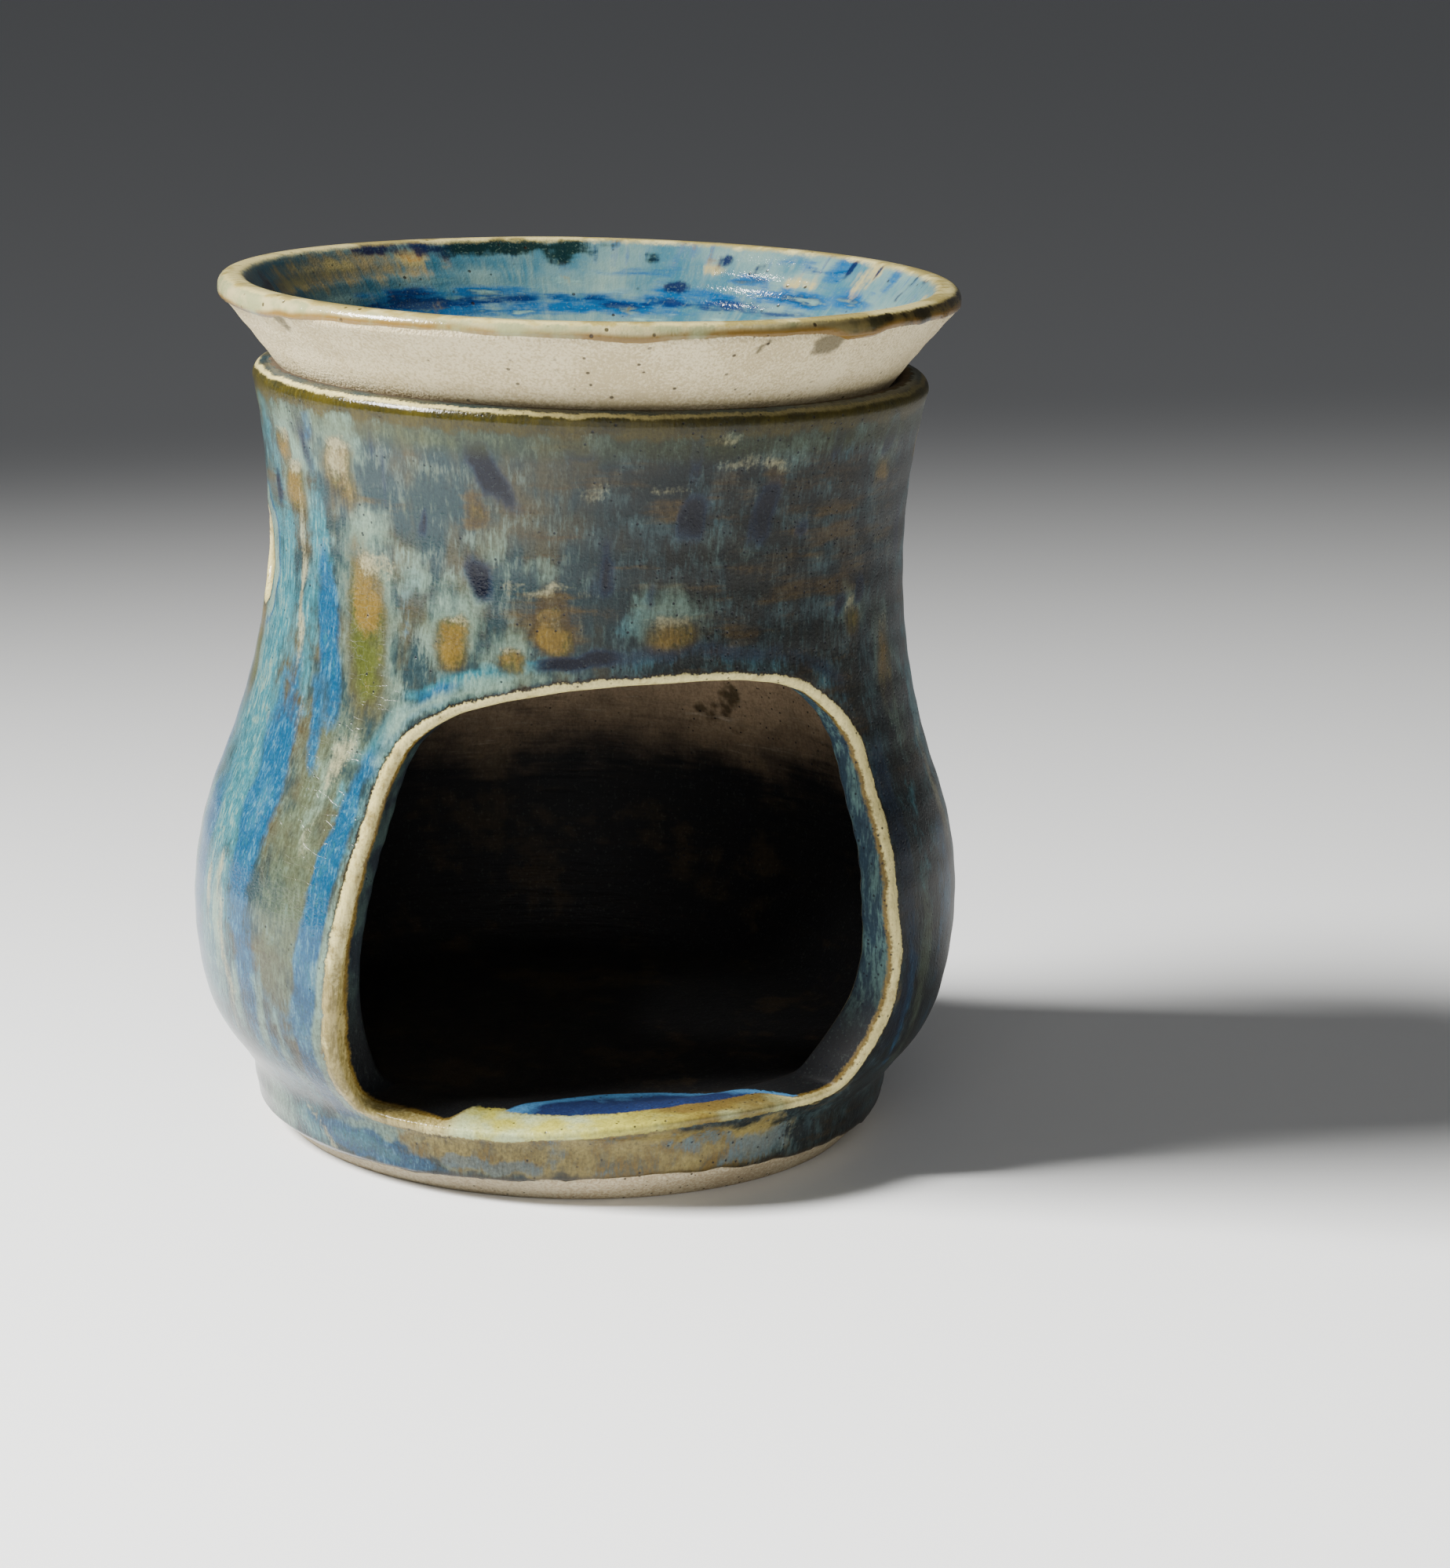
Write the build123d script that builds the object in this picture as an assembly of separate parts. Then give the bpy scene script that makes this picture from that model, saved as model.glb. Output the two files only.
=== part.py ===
from build123d import *
import math
import os

# Essential oil burner: a thrown and glazed pot with a door cut in its belly, and a loose dish for
# the oil that rests in the pot's mouth. Z is the pot's axis, the ground is Z = 0 and the door opens
# toward -Y. Lengths are in millimetres and angles in degrees.

# Pot, outside
belly_radius = 50.0
belly_height = 30.0
belly_curve = 46.5
waist_depth = 9.0
waist_height = 78.0
neck_flare = 2.2
rim_height = 99.2
shoulder_curve = 17.0
lip_outer_round = 1.8
lip_inner_round = 1.4

# Pot, turned foot, bare clay below the glaze line
foot_set_in = 8.8
foot_height = 9.5
foot_taper = 1.8
base_bevel = 1.1
foot_glaze_line = 3.4
glaze_thickness = 0.4

# Pot, inside
waist_wall = 4.2
lip_wall = 4.3
belly_wall = 5.4
chamber_rise = 3.5
chamber_curve = 36.0
heel_round = 7.0
floor_height = 11.4

# Door, cut square to the wall, so that its jambs point at the pot's axis
door_half_angle = 45.6
door_top = 66.4
sill_height = 11.7
sill_corner_round = 2.4
jamb_round = 1.2
# Hand-cut edge of the door, from the left end of the sill over the head to the right end. Each
# point is a share of the half angle and a share of the height from the sill to the top.
door_edge_shares = [
    (-1.00, 0.00),
    (-1.00, 0.18),
    (-0.965, 0.36),
    (-0.90, 0.54),
    (-0.875, 0.72),
    (-0.80, 0.84),
    (-0.60, 0.925),
    (-0.25, 0.98),
    (0.15, 1.00),
    (0.50, 0.99),
    (0.76, 0.94),
    (0.92, 0.84),
    (0.97, 0.70),
    (0.98, 0.52),
    (1.00, 0.32),
    (0.96, 0.15),
    (0.88, 0.00),
]

# Vents, a round hole in each side of the neck that lets the hot air out
vent_radius = 6.2
vent_below_rim = 24.4
vent_edge_round = 0.8

# Dish, a shallow bowl with a flat turned base. Its side rests on the pot's lip: the overhang and the
# sink are how far it reaches out over that seat and down below it. The glaze of the bowl laps over
# its edge, and the side below the lap is bare clay.
dish_overhang = 8.1
dish_sink = 3.8
dish_side_angle = 50.0
dish_wall = 4.0
dish_floor_thickness = 4.6
dish_base_round = 4.0
dish_bowl_round = 11.0
dish_edge_height = 2.4
dish_edge_round = 1.5
dish_seat_gap = 0.2

# One overrun serves all cuts
overrun = 10.0

# What follows from these sizes
waist_radius = belly_radius - waist_depth
foot_radius = belly_radius - foot_set_in
foot_base_radius = foot_radius - foot_taper
vent_height = rim_height - vent_below_rim


def between(low, high, share):
    return low + (high - low) * share


def arc(center, radius, start, end):
    """The shorter arc about a center from the direction of one point to that of another."""
    first = math.degrees(math.atan2(start[1] - center[1], start[0] - center[0]))
    last = math.degrees(math.atan2(end[1] - center[1], end[0] - center[0]))
    turn = (last - first + 180) % 360 - 180
    return CenterArc(center, radius, first, turn)


def toward(start, end, distance):
    """The point at a distance from start on the line to end."""
    share = distance / math.dist(start, end)
    return (between(start[0], end[0], share), between(start[1], end[1], share))


def flank(wide, wide_height, wide_curve, narrow, narrow_height):
    """A bulging arc that is widest at one height and runs over, in a tangent, into a hollow arc that
    is narrowest at another. Gives both centers, the hollow arc's radius and where the arcs touch."""
    reach = ((wide - narrow) ** 2 + (narrow_height - wide_height) ** 2) / (2 * (wide - narrow))
    hollow = reach - wide_curve
    bulge_center = (wide - wide_curve, wide_height)
    hollow_center = (narrow + hollow, narrow_height)
    return bulge_center, hollow_center, hollow, toward(bulge_center, hollow_center, wide_curve)


def neck(narrow, lip):
    """Center and radius of the hollow arc that is upright at the waist and flares out to the lip."""
    flare = lip[0] - narrow
    rise = lip[1] - waist_height
    curve = (flare**2 + rise**2) / (2 * flare)
    return (narrow + curve, waist_height), curve


def shoulder_center(belly_center):
    """Center of the tight arc that starts at the foot and touches the belly arc from within: it lies
    where two circles cross, one about the belly's center and one about the top of the foot."""
    foot_top = (foot_radius, foot_height)
    from_belly = belly_curve - shoulder_curve
    apart = math.dist(belly_center, foot_top)
    along = (from_belly**2 - shoulder_curve**2 + apart**2) / (2 * apart)
    aside = math.sqrt(from_belly**2 - along**2)
    base = toward(belly_center, foot_top, along)
    unit = ((foot_top[0] - belly_center[0]) / apart, (foot_top[1] - belly_center[1]) / apart)
    return (base[0] - unit[1] * aside, base[1] + unit[0] * aside)


def foot_outline():
    """The turned foot from the axis out to the wall, with the step where the glaze ends."""
    line_share = (foot_glaze_line - base_bevel) / (foot_height - base_bevel)
    line_radius = between(foot_base_radius, foot_radius, line_share)
    Polyline(
        (0, floor_height),
        (0, 0),
        (foot_base_radius - base_bevel, 0),
        (foot_base_radius, base_bevel),
        (line_radius - glaze_thickness, foot_glaze_line),
        (line_radius, foot_glaze_line),
        (foot_radius, foot_height),
    )


def outside_outline():
    """Outside of the wall: shoulder arc, belly arc, waist arc and neck arc, up to the lip."""
    belly_center, waist_center, waist_curve, touch = flank(
        belly_radius, belly_height, belly_curve, waist_radius, waist_height
    )
    shoulder = shoulder_center(belly_center)
    shoulder_end = toward(belly_center, shoulder, belly_curve)
    waist = (waist_radius, waist_height)
    lip = (waist_radius + neck_flare, rim_height - lip_outer_round)
    neck_center, neck_curve = neck(waist_radius, lip)
    arc(shoulder, shoulder_curve, (foot_radius, foot_height), shoulder_end)
    arc(belly_center, belly_curve, shoulder_end, touch)
    arc(waist_center, waist_curve, touch, waist)
    arc(neck_center, neck_curve, waist, lip)
    return lip


def inside_outline():
    """Inside of the wall, from the lip to the flat floor: neck, waist, chamber and heel arc."""
    narrow = waist_radius - waist_wall
    chamber_center, waist_center, waist_curve, touch = flank(
        belly_radius - belly_wall,
        belly_height + chamber_rise,
        chamber_curve,
        narrow,
        waist_height,
    )
    waist = (narrow, waist_height)
    lip = (waist_radius + neck_flare - lip_wall, rim_height - lip_inner_round)
    neck_center, neck_curve = neck(narrow, lip)
    heel_height = floor_height + heel_round
    heel_drop = chamber_center[1] - heel_height
    heel_across = math.sqrt((chamber_curve - heel_round) ** 2 - heel_drop**2)
    heel = (chamber_center[0] + heel_across, heel_height)
    heel_end = toward(chamber_center, heel, chamber_curve)
    arc(neck_center, neck_curve, lip, waist)
    arc(waist_center, waist_curve, waist, touch)
    arc(chamber_center, chamber_curve, touch, heel_end)
    arc(heel, heel_round, heel_end, (heel[0], floor_height))
    Line((heel[0], floor_height), (0, floor_height))
    return lip


def lip_outline(outside, inside):
    """The rounded lip between the two sides of the wall."""
    outer = (outside[0] - lip_outer_round, outside[1])
    inner = (inside[0] + lip_inner_round, inside[1])
    arc(outer, lip_outer_round, outside, (outer[0], rim_height))
    Line((outer[0], rim_height), (inner[0], rim_height))
    arc(inner, lip_inner_round, (inner[0], rim_height), inside)


def thrown_pot():
    """The pot as it comes off the wheel, one half section turned about the axis. Gives the inner
    corner of the lip too, because the dish rests there."""
    with BuildSketch(Plane.YZ) as section:
        with BuildLine():
            foot_outline()
            outside = outside_outline()
            inside = inside_outline()
            lip_outline(outside, inside)
        make_face()
    return revolve(section.sketch, Axis.Z), inside


def door_outline(distance):
    """Outline of the door on an upright plane at a distance from the axis."""
    points = []
    for side, rise in door_edge_shares:
        across = distance * math.tan(math.radians(side * door_half_angle))
        points.append((across, between(sill_height, door_top, rise)))
    with BuildSketch() as drawn:
        with BuildLine():
            Spline(*points)
            Line(points[-1], points[0])
        make_face()
    return drawn.sketch


def door_cutter():
    """Wedge between an outline of the door outside the belly and its copy near the axis, which is
    narrower by the ratio of their distances, so that every jamb of the cut points at the axis."""
    far = belly_radius + overrun
    near = overrun
    outline = door_outline(far)
    narrow_outline = scale(outline, by=(near / far, 1, 1))
    wedge = loft([Plane.XZ.offset(near) * narrow_outline, Plane.XZ.offset(far) * outline], ruled=True)
    runs_outward = [edge for edge in wedge.edges() if edge.bounding_box().size.Y > overrun]
    sill_corners = ShapeList(runs_outward).sort_by(Axis.Z)[:2]
    return fillet(sill_corners, sill_corner_round)


def vent_cutter():
    """One rod across the neck, which cuts both vents."""
    rod = Cylinder(vent_radius, 2 * (belly_radius + overrun), rotation=(0, 90, 0))
    return Pos(0, 0, vent_height) * rod


def cut_edges(body, kind):
    """Edges where the faces that a cut left, known by their kind, meet the two sides of the wall. An
    edge between two such faces is listed twice, and the seam of a round hole is a line."""
    edges = [edge for face in body.faces().filter_by(kind) for edge in face.edges()]
    return [edge for edge in edges if edges.count(edge) == 1 and edge.geom_type != GeomType.LINE]


def pot():
    """The pot with its door and vents, both with the edges that a wet sponge leaves soft."""
    body, lip = thrown_pot()
    body = body - door_cutter() - vent_cutter()
    body = fillet(cut_edges(body, GeomType.BSPLINE), jamb_round)
    body = fillet(cut_edges(body, GeomType.CYLINDER), vent_edge_round)
    return body, lip


def dish_seat(lip):
    """The point of the dish's sloping side that faces the lip's inner round across the seat gap."""
    slope = math.radians(dish_side_angle)
    reach = lip_inner_round + dish_seat_gap
    return (
        lip[0] + lip_inner_round - reach * math.sin(slope),
        lip[1] + reach * math.cos(slope),
    )


def dish(lip):
    """The dish, one half section turned about the axis."""
    slope = math.radians(dish_side_angle)
    seat_radius, seat_height = dish_seat(lip)
    base = seat_height - dish_sink
    floor = base + dish_floor_thickness
    lap = seat_height + dish_overhang * math.tan(slope)
    top = lap + dish_edge_height
    dish_radius = seat_radius + dish_overhang
    side_wall = dish_wall / math.sin(slope)
    base_radius = dish_radius - (lap - base) / math.tan(slope)
    bowl_top_radius = dish_radius + dish_edge_height / math.tan(slope) - side_wall
    bowl_floor_radius = bowl_top_radius - (top - floor) / math.tan(slope)
    roundings = [
        (base_radius, base, dish_base_round),
        (dish_radius, top, dish_edge_round),
        (bowl_top_radius, top, dish_edge_round),
        (bowl_floor_radius, floor, dish_bowl_round),
    ]
    with BuildSketch(Plane.YZ) as section:
        with BuildLine():
            Polyline(
                (0, base),
                (base_radius, base),
                (dish_radius, lap),
                (dish_radius, top),
                (bowl_top_radius, top),
                (bowl_floor_radius, floor),
                (0, floor),
                close=True,
            )
        make_face()
        for radius, height, rounding in roundings:
            corner = section.vertices().sort_by_distance(Vector(radius, height))[0]
            fillet(corner, rounding)
    return revolve(section.sketch, Axis.Z)


if __name__ == "__main__":
    os.makedirs("parts", exist_ok=True)
    burner_body, lip = pot()
    oil_dish = dish(lip)
    export_step(burner_body, "parts/burner_body.step")
    export_step(oil_dish, "parts/oil_dish.step")
    for name, piece in (("burner body", burner_body), ("oil dish", oil_dish)):
        box = piece.bounding_box()
        print(name, box.min, box.max)
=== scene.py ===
# %% [markdown]
# # A stoneware oil burner in running blue glaze
# A pot thrown on the wheel, with a door cut in its belly, carries a loose dish for water and oil. Both
# wear a glaze that runs while it melts: blue where it is thick, ochre where it thins over an edge.
# A mesh like this could be sculpted, or cut with booleans. Here every surface is worked out as a grid
# of two numbers, how far round the axis and how far along the wall, because a thrown pot is made that
# way too, and because the glaze can then be placed with the same two numbers.
# %% Load the frame that holds the real sizes
import math

import bmesh
import bpy
import numpy as np
from mathutils import Matrix, Vector


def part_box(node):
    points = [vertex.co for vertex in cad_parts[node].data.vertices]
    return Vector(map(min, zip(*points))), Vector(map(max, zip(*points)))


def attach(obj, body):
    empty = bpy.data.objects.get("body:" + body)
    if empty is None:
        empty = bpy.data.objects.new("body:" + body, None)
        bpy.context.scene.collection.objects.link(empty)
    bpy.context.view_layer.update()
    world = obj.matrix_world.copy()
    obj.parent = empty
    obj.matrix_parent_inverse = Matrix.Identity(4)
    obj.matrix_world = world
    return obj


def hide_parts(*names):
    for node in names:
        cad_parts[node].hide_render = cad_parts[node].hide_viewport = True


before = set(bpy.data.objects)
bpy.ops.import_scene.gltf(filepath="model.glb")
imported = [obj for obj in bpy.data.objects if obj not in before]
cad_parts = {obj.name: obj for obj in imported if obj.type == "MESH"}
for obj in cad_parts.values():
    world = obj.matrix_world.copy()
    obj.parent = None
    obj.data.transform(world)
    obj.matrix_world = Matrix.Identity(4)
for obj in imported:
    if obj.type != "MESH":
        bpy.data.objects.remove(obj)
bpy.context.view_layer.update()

MM = 0.001

# %% [markdown]
# ## Profiles
# A thrown wall is a line turned about the axis. The line could be a spline through many points. Arcs
# that touch each other need only a few sizes, and a potter's rib leaves just such arcs: a shoulder, a
# belly, a waist and a neck.
# %% Lines and arcs, joined end to end


def arc(center, start, end, step):
    """Points about a center from start to end: the radius stays and the angle runs evenly."""
    radius = math.dist(center, start)
    first = math.atan2(start[1] - center[1], start[0] - center[0])
    last = math.atan2(end[1] - center[1], end[0] - center[0])
    turn = (last - first + math.pi) % math.tau - math.pi
    angle = first + turn * np.linspace(0, 1, max(2, round(abs(turn) * radius / step)) + 1)
    return np.column_stack([center[0] + radius * np.cos(angle), center[1] + radius * np.sin(angle)])


def line(start, end, step):
    """Points from start to end: start times the share that is left, plus end times the share done."""
    share = np.linspace(0, 1, max(1, round(math.dist(start, end) / step)) + 1)[:, None]
    return np.array(start) * (1 - share) + np.array(end) * share


def chain(*stretches):
    """Stretches joined end to end, each without the point that it shares with the one before."""
    return np.vstack([stretches[0]] + [stretch[1:] for stretch in stretches[1:]])


def touching_arcs(wide, bulge, narrow):
    """A bulging arc through its widest point and a hollow arc through its narrowest one, that touch.
    Their centers lie level with those points, and the sum of their radii is the distance between
    the centers. Gives both centers and the point where the arcs touch."""
    inset = wide[0] - narrow[0]
    both_radii = (inset**2 + (narrow[1] - wide[1]) ** 2) / (2 * inset)
    bulge_center = np.array([wide[0] - bulge, wide[1]])
    hollow_center = np.array([narrow[0] + both_radii - bulge, narrow[1]])
    return bulge_center, hollow_center, bulge_center + (hollow_center - bulge_center) * bulge / both_radii


def neck_center(narrow, lip):
    """Center of the hollow arc that is upright at its narrowest point and runs out to the lip: its
    radius is (flare squared plus rise squared) over twice the flare."""
    flare = lip[0] - narrow[0]
    return (narrow[0] + (flare**2 + (lip[1] - narrow[1]) ** 2) / (2 * flare), narrow[1])


def crossing(center, radius, other, other_radius):
    """The right-hand point where two circles cross: along the line between their centers by
    (radius squared minus other radius squared plus distance squared) over twice the distance."""
    center, other = np.array(center), np.array(other)
    apart = math.dist(center, other)
    along = (radius**2 - other_radius**2 + apart**2) / (2 * apart)
    unit = (other - center) / apart
    return center + unit * along + np.array([-unit[1], unit[0]]) * math.sqrt(radius**2 - along**2)


print("points on a quarter arc of 10 mm in 1 mm steps", len(arc((0, 0), (10, 0), (0, 10), 1)))

# %% [markdown]
# ## The pot's two sides
# The wall has an outside and an inside that meet on the crest of the lip. The widest point and the
# height come from the frame, so the looks fit the solid that stands for the pot there.
# %% The pot's profiles, in millimetres
pot_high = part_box("burner_body")[1] / MM
rim_height = pot_high.z
belly_curve, shoulder_curve, crest_radius = 46.5, 17.0, 41.0
waist_depth, neck_flare, foot_set_in = 9.0, 2.2, 7.7
outer_round, inner_round = 1.8, 1.4
belly = (pot_high.x, 30.0)
waist = (belly[0] - waist_depth, 78.0)
lip = (waist[0] + neck_flare, rim_height - outer_round)
over_lip = (lip[0] - outer_round, rim_height)
crest_point = (crest_radius, rim_height)
foot = (belly[0] - foot_set_in, 9.5)
foot_neck = (foot[0] - 0.4, 5.6)
foot_line = (foot[0] - 1.1, 3.0)
foot_base = (foot[0] - 3.5, 1.0)
foot_flat = (foot_base[0] - 1.0, 0)

belly_center, waist_center, touch = touching_arcs(belly, belly_curve, waist)
shoulder_center = crossing(belly_center, belly_curve - shoulder_curve, foot, shoulder_curve)
shoulder_top = belly_center + (shoulder_center - belly_center) * belly_curve / (belly_curve - shoulder_curve)
outside_profile = chain(
    line((0, 0), foot_flat, 4),
    line(foot_flat, foot_base, 0.4),
    line(foot_base, foot_line, 0.25),
    line(foot_line, foot_neck, 0.25),
    line(foot_neck, foot, 0.7),
    arc(shoulder_center, foot, shoulder_top, 0.9),
    arc(belly_center, shoulder_top, touch, 1),
    arc(waist_center, touch, waist, 1),
    arc(neck_center(waist, lip), waist, lip, 1),
    arc((over_lip[0], lip[1]), lip, over_lip, 0.35),
    line(over_lip, crest_point, 0.4),
)

floor_height, heel_round, chamber_curve = 11.4, 7.0, 36.0
belly_wall, waist_wall, lip_wall = 5.4, 4.2, 4.3
chamber = (belly[0] - belly_wall, 33.5)
narrow = (waist[0] - waist_wall, waist[1])
inner_lip = (lip[0] - lip_wall, rim_height - inner_round)
over_inner_lip = (inner_lip[0] + inner_round, rim_height)
chamber_center, inner_waist_center, inner_touch = touching_arcs(chamber, chamber_curve, narrow)
heel_height = floor_height + heel_round
heel_across = math.sqrt((chamber_curve - heel_round) ** 2 - (chamber_center[1] - heel_height) ** 2)
heel = np.array([chamber_center[0] + heel_across, heel_height])
heel_top = chamber_center + (heel - chamber_center) * chamber_curve / (chamber_curve - heel_round)
inside_profile = chain(
    line((0, floor_height), (heel[0], floor_height), 2),
    arc(heel, (heel[0], floor_height), heel_top, 1),
    arc(chamber_center, heel_top, inner_touch, 1.5),
    arc(inner_waist_center, inner_touch, narrow, 1.5),
    arc(neck_center(narrow, inner_lip), narrow, inner_lip, 1.5),
    arc((over_inner_lip[0], inner_lip[1]), inner_lip, over_inner_lip, 0.4),
    line(over_inner_lip, crest_point, 0.4),
)
print("profile points outside", len(outside_profile), "inside", len(inside_profile))

# %% [markdown]
# ## A side of the wall as a function
# Every place on a side is an angle round the axis, from the door to the right, and a run along the
# profile. A class holds what follows from the profile, so that a place, the way out of the surface and
# the run at a height are one call each.
# %% Smooth steps, noise and the sides of a wall


def smooth(value, low, high):
    """0 at low and 1 at high, with 3t squared minus 2t cubed between."""
    share = np.clip((value - low) / (high - low), 0, 1)
    return share * share * (3 - 2 * share)


LATTICE_ROWS = 256


def mottle(across, along, seed, period=256):
    """Smooth noise from -1 to 1: random values on a lattice, blended between the four around a
    place by the smooth step. The lattice repeats across after a period, so it closes round a pot."""
    lattice = np.random.default_rng(seed).uniform(-1, 1, (period, LATTICE_ROWS))
    column, row = np.floor(across).astype(int), np.floor(along).astype(int)
    right, up = smooth(across - column, 0, 1), smooth(along - row, 0, 1)
    near, far = column % period, (column + 1) % period
    below, above = (
        lattice[near, level % LATTICE_ROWS] * (1 - right) + lattice[far, level % LATTICE_ROWS] * right
        for level in (row, row + 1))
    return below * (1 - up) + above * up


class Side:
    """A profile turned about the axis. Its normal is the tangent turned a quarter to the outside."""

    def __init__(self, profile, facing, relief, shift):
        self.profile, self.relief, self.shift = profile, relief, shift
        self.run = np.concatenate([[0], np.cumsum(np.linalg.norm(np.diff(profile, axis=0), axis=1))])
        tangent = np.gradient(profile, self.run, axis=0)
        tangent /= np.linalg.norm(tangent, axis=1, keepdims=True)
        self.normal = np.column_stack([tangent[:, 1], -tangent[:, 0]]) * facing

    def flat(self, run):
        """Radius and height at a run, before the potter's hand has moved the surface."""
        return np.interp(run, self.run, self.profile[:, 0]), np.interp(run, self.run, self.profile[:, 1])

    def run_at(self, height):
        """The run at which the profile reaches a height."""
        return np.interp(height, self.profile[:, 1], self.run)

    def place(self, angle, run):
        """The profile's point moved along its normal by the relief, turned to the angle and shifted
        with the lean of the pot: x is radius times sine, y is minus radius times cosine."""
        radius, height = self.flat(run)
        moved = self.relief(angle, run, radius, height)
        radius = radius + moved * np.interp(run, self.run, self.normal[:, 0])
        height = height + moved * np.interp(run, self.run, self.normal[:, 1])
        turn = np.radians(angle)
        return np.stack([radius * np.sin(turn) + self.shift(height), -radius * np.cos(turn), height], -1)


print("smooth step a quarter, half and all the way", smooth(np.array([0.25, 0.5, 1.0]), 0, 1))

# %% [markdown]
# ## What the hands and the kiln leave
# A thrown wall isn't a perfect turned body: it leans a little, wanders by a tenth of a millimetre and
# keeps the spiral of the fingers. The glaze ends in a wavy step above the bare foot. All of it is a
# relief along the surface's normal. A Displace modifier could do the same, but a function keeps the
# numbers in millimetres and within the frame's box: above the foot it only moves the outside inwards.
# %% Relief of the two sides


def lean(height):
    """Sideways shift of the pot's axis: it rises with the height and is nothing at the belly."""
    share = height / 100
    return 1.21 * (share - 0.3) - 0.22 * (share**2 - 0.09)


glaze_line_places, glaze_line_heights = zip(
    (-180, 3.2), (-130, 4.0), (-95, 2.6), (-68, 1.9), (-55, 2.1), (-43, 2.3), (-35, 2.5), (-24, 2.9),
    (-15, 3.2), (-5, 3.7), (3, 3.9), (12, 4.0), (20, 3.9), (30, 3.6), (40, 3.3), (60, 3.2), (110, 4.2),
    (150, 3.0), (180, 3.2))


def glaze_line(angle):
    """Height where the glaze ends above the foot: a line through given heights, with fine waves."""
    wave = 0.22 * mottle(angle / 4 + 45, angle * 0, 5, 90)
    wave = wave + 0.1 * mottle(angle / 1.5 + 120, angle * 0, 6, 240)
    return np.interp(angle, glaze_line_places, glaze_line_heights) + wave


def outside_relief(angle, run, radius, height):
    """Slow wander and finger rings, a soft fillet in the crease over the foot, and below the glaze
    line a step in to the clay whose depth is 0.4 mm at the line and nothing at the bevel."""
    wander = 0.09 * mottle(angle / 24 + 7.5, height / 17, 11, 15) - 0.12
    rings = 0.03 * np.sin(height * 1.35 + angle / 57.3) * smooth(height, 12, 20)
    fillet = 0.55 * np.exp(-(((height - 9.6) / 1.2) ** 2)) * (radius > 39)
    above = height - glaze_line(angle)
    bead = 0.07 * np.exp(-(((above - 0.6) / 0.5) ** 2))
    clay = 0.4 * smooth(above, 0.15, -0.15) * smooth(height, 0.4, 3.0)
    thrown = (wander + rings) * smooth(height, 0, 6) * smooth(height, rim_height, rim_height - 3)
    return thrown + fillet + bead - clay


def inside_relief(angle, run, radius, height):
    """Deeper finger rings in the chamber, which rise like a screw, and a spiral on the floor."""
    wall = 0.16 * np.sin(height * math.tau / 3.4 + np.radians(angle)) * smooth(height, 22, 40)
    depth = 0.6 + 0.4 * mottle(angle / 30 + 6, height / 6, 3, 12)
    wall = wall * smooth(height, rim_height - 3, rim_height - 12) * depth
    spiral = 0.14 * np.sin((radius / 5.2 + angle / 360) * math.tau)
    spiral = spiral * smooth(radius, 1, 4) * smooth(radius, 31, 25)
    spiral = spiral + 0.35 * np.exp(-(((radius - 23) / 1.1) ** 2))
    return wall + spiral * smooth(height, floor_height + 0.5, floor_height)


outside = Side(outside_profile, 1, outside_relief, lean)
inside = Side(inside_profile, -1, inside_relief, lean)
print("run outside", round(outside.run[-1], 1), "mm, inside", round(inside.run[-1], 1), "mm")

# %% [markdown]
# ## Grids, holes and the mesh
# A boolean could cut the door, but it leaves long thin faces that shade badly. So each side is a grid
# of rows and columns with a rectangular window left open, and two more grids fill each window: rings
# that shrink from the window's border to the hole's outline, and the cut through the wall itself, with
# its two wiped edges.
# %% Rows and columns of the pot
COLUMNS = 320
columns = np.arange(COLUMNS) * 360 / COLUMNS - 180
outside_rows = outside.run


def row_near(height):
    """The row of the outside that is nearest to a height."""
    return int(np.argmin(np.abs(outside_profile[:, 1] - height)))


def column_near(angle):
    """The column at an angle: its share of the full turn times the number of columns, rounded."""
    return int(round((angle + 180) * COLUMNS / 360))


door_bottom, heel_row, window_top = row_near(5.5), row_near(20), row_near(86)
floor_start, floor_rings = 27.0, 12
heights = outside_profile[:, 1]
inside_rows = np.concatenate([
    np.linspace(0, floor_start, floor_rings + 1)[:-1],
    np.linspace(floor_start, inside.run_at(heights[heel_row]), heel_row - door_bottom + 1)[:-1],
    inside.run_at(heights[heel_row:window_top + 1]),
    inside.run[inside.run > inside.run_at(heights[window_top]) + 1],
])
row_step = door_bottom - floor_rings
print("rows outside", len(outside_rows), "inside", len(inside_rows))

# %% [markdown]
# A piece is several grids that share their borders. Each could be an object of its own, joined later.
# One class gathers them instead, with the numbers that its glaze needs at each point, and turns them
# into a mesh whose shared borders are merged, so that no seam is left open.
# %% A piece is gathered from grids and made a mesh
FAR = 40
MERGE_WITHIN = 0.002


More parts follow.
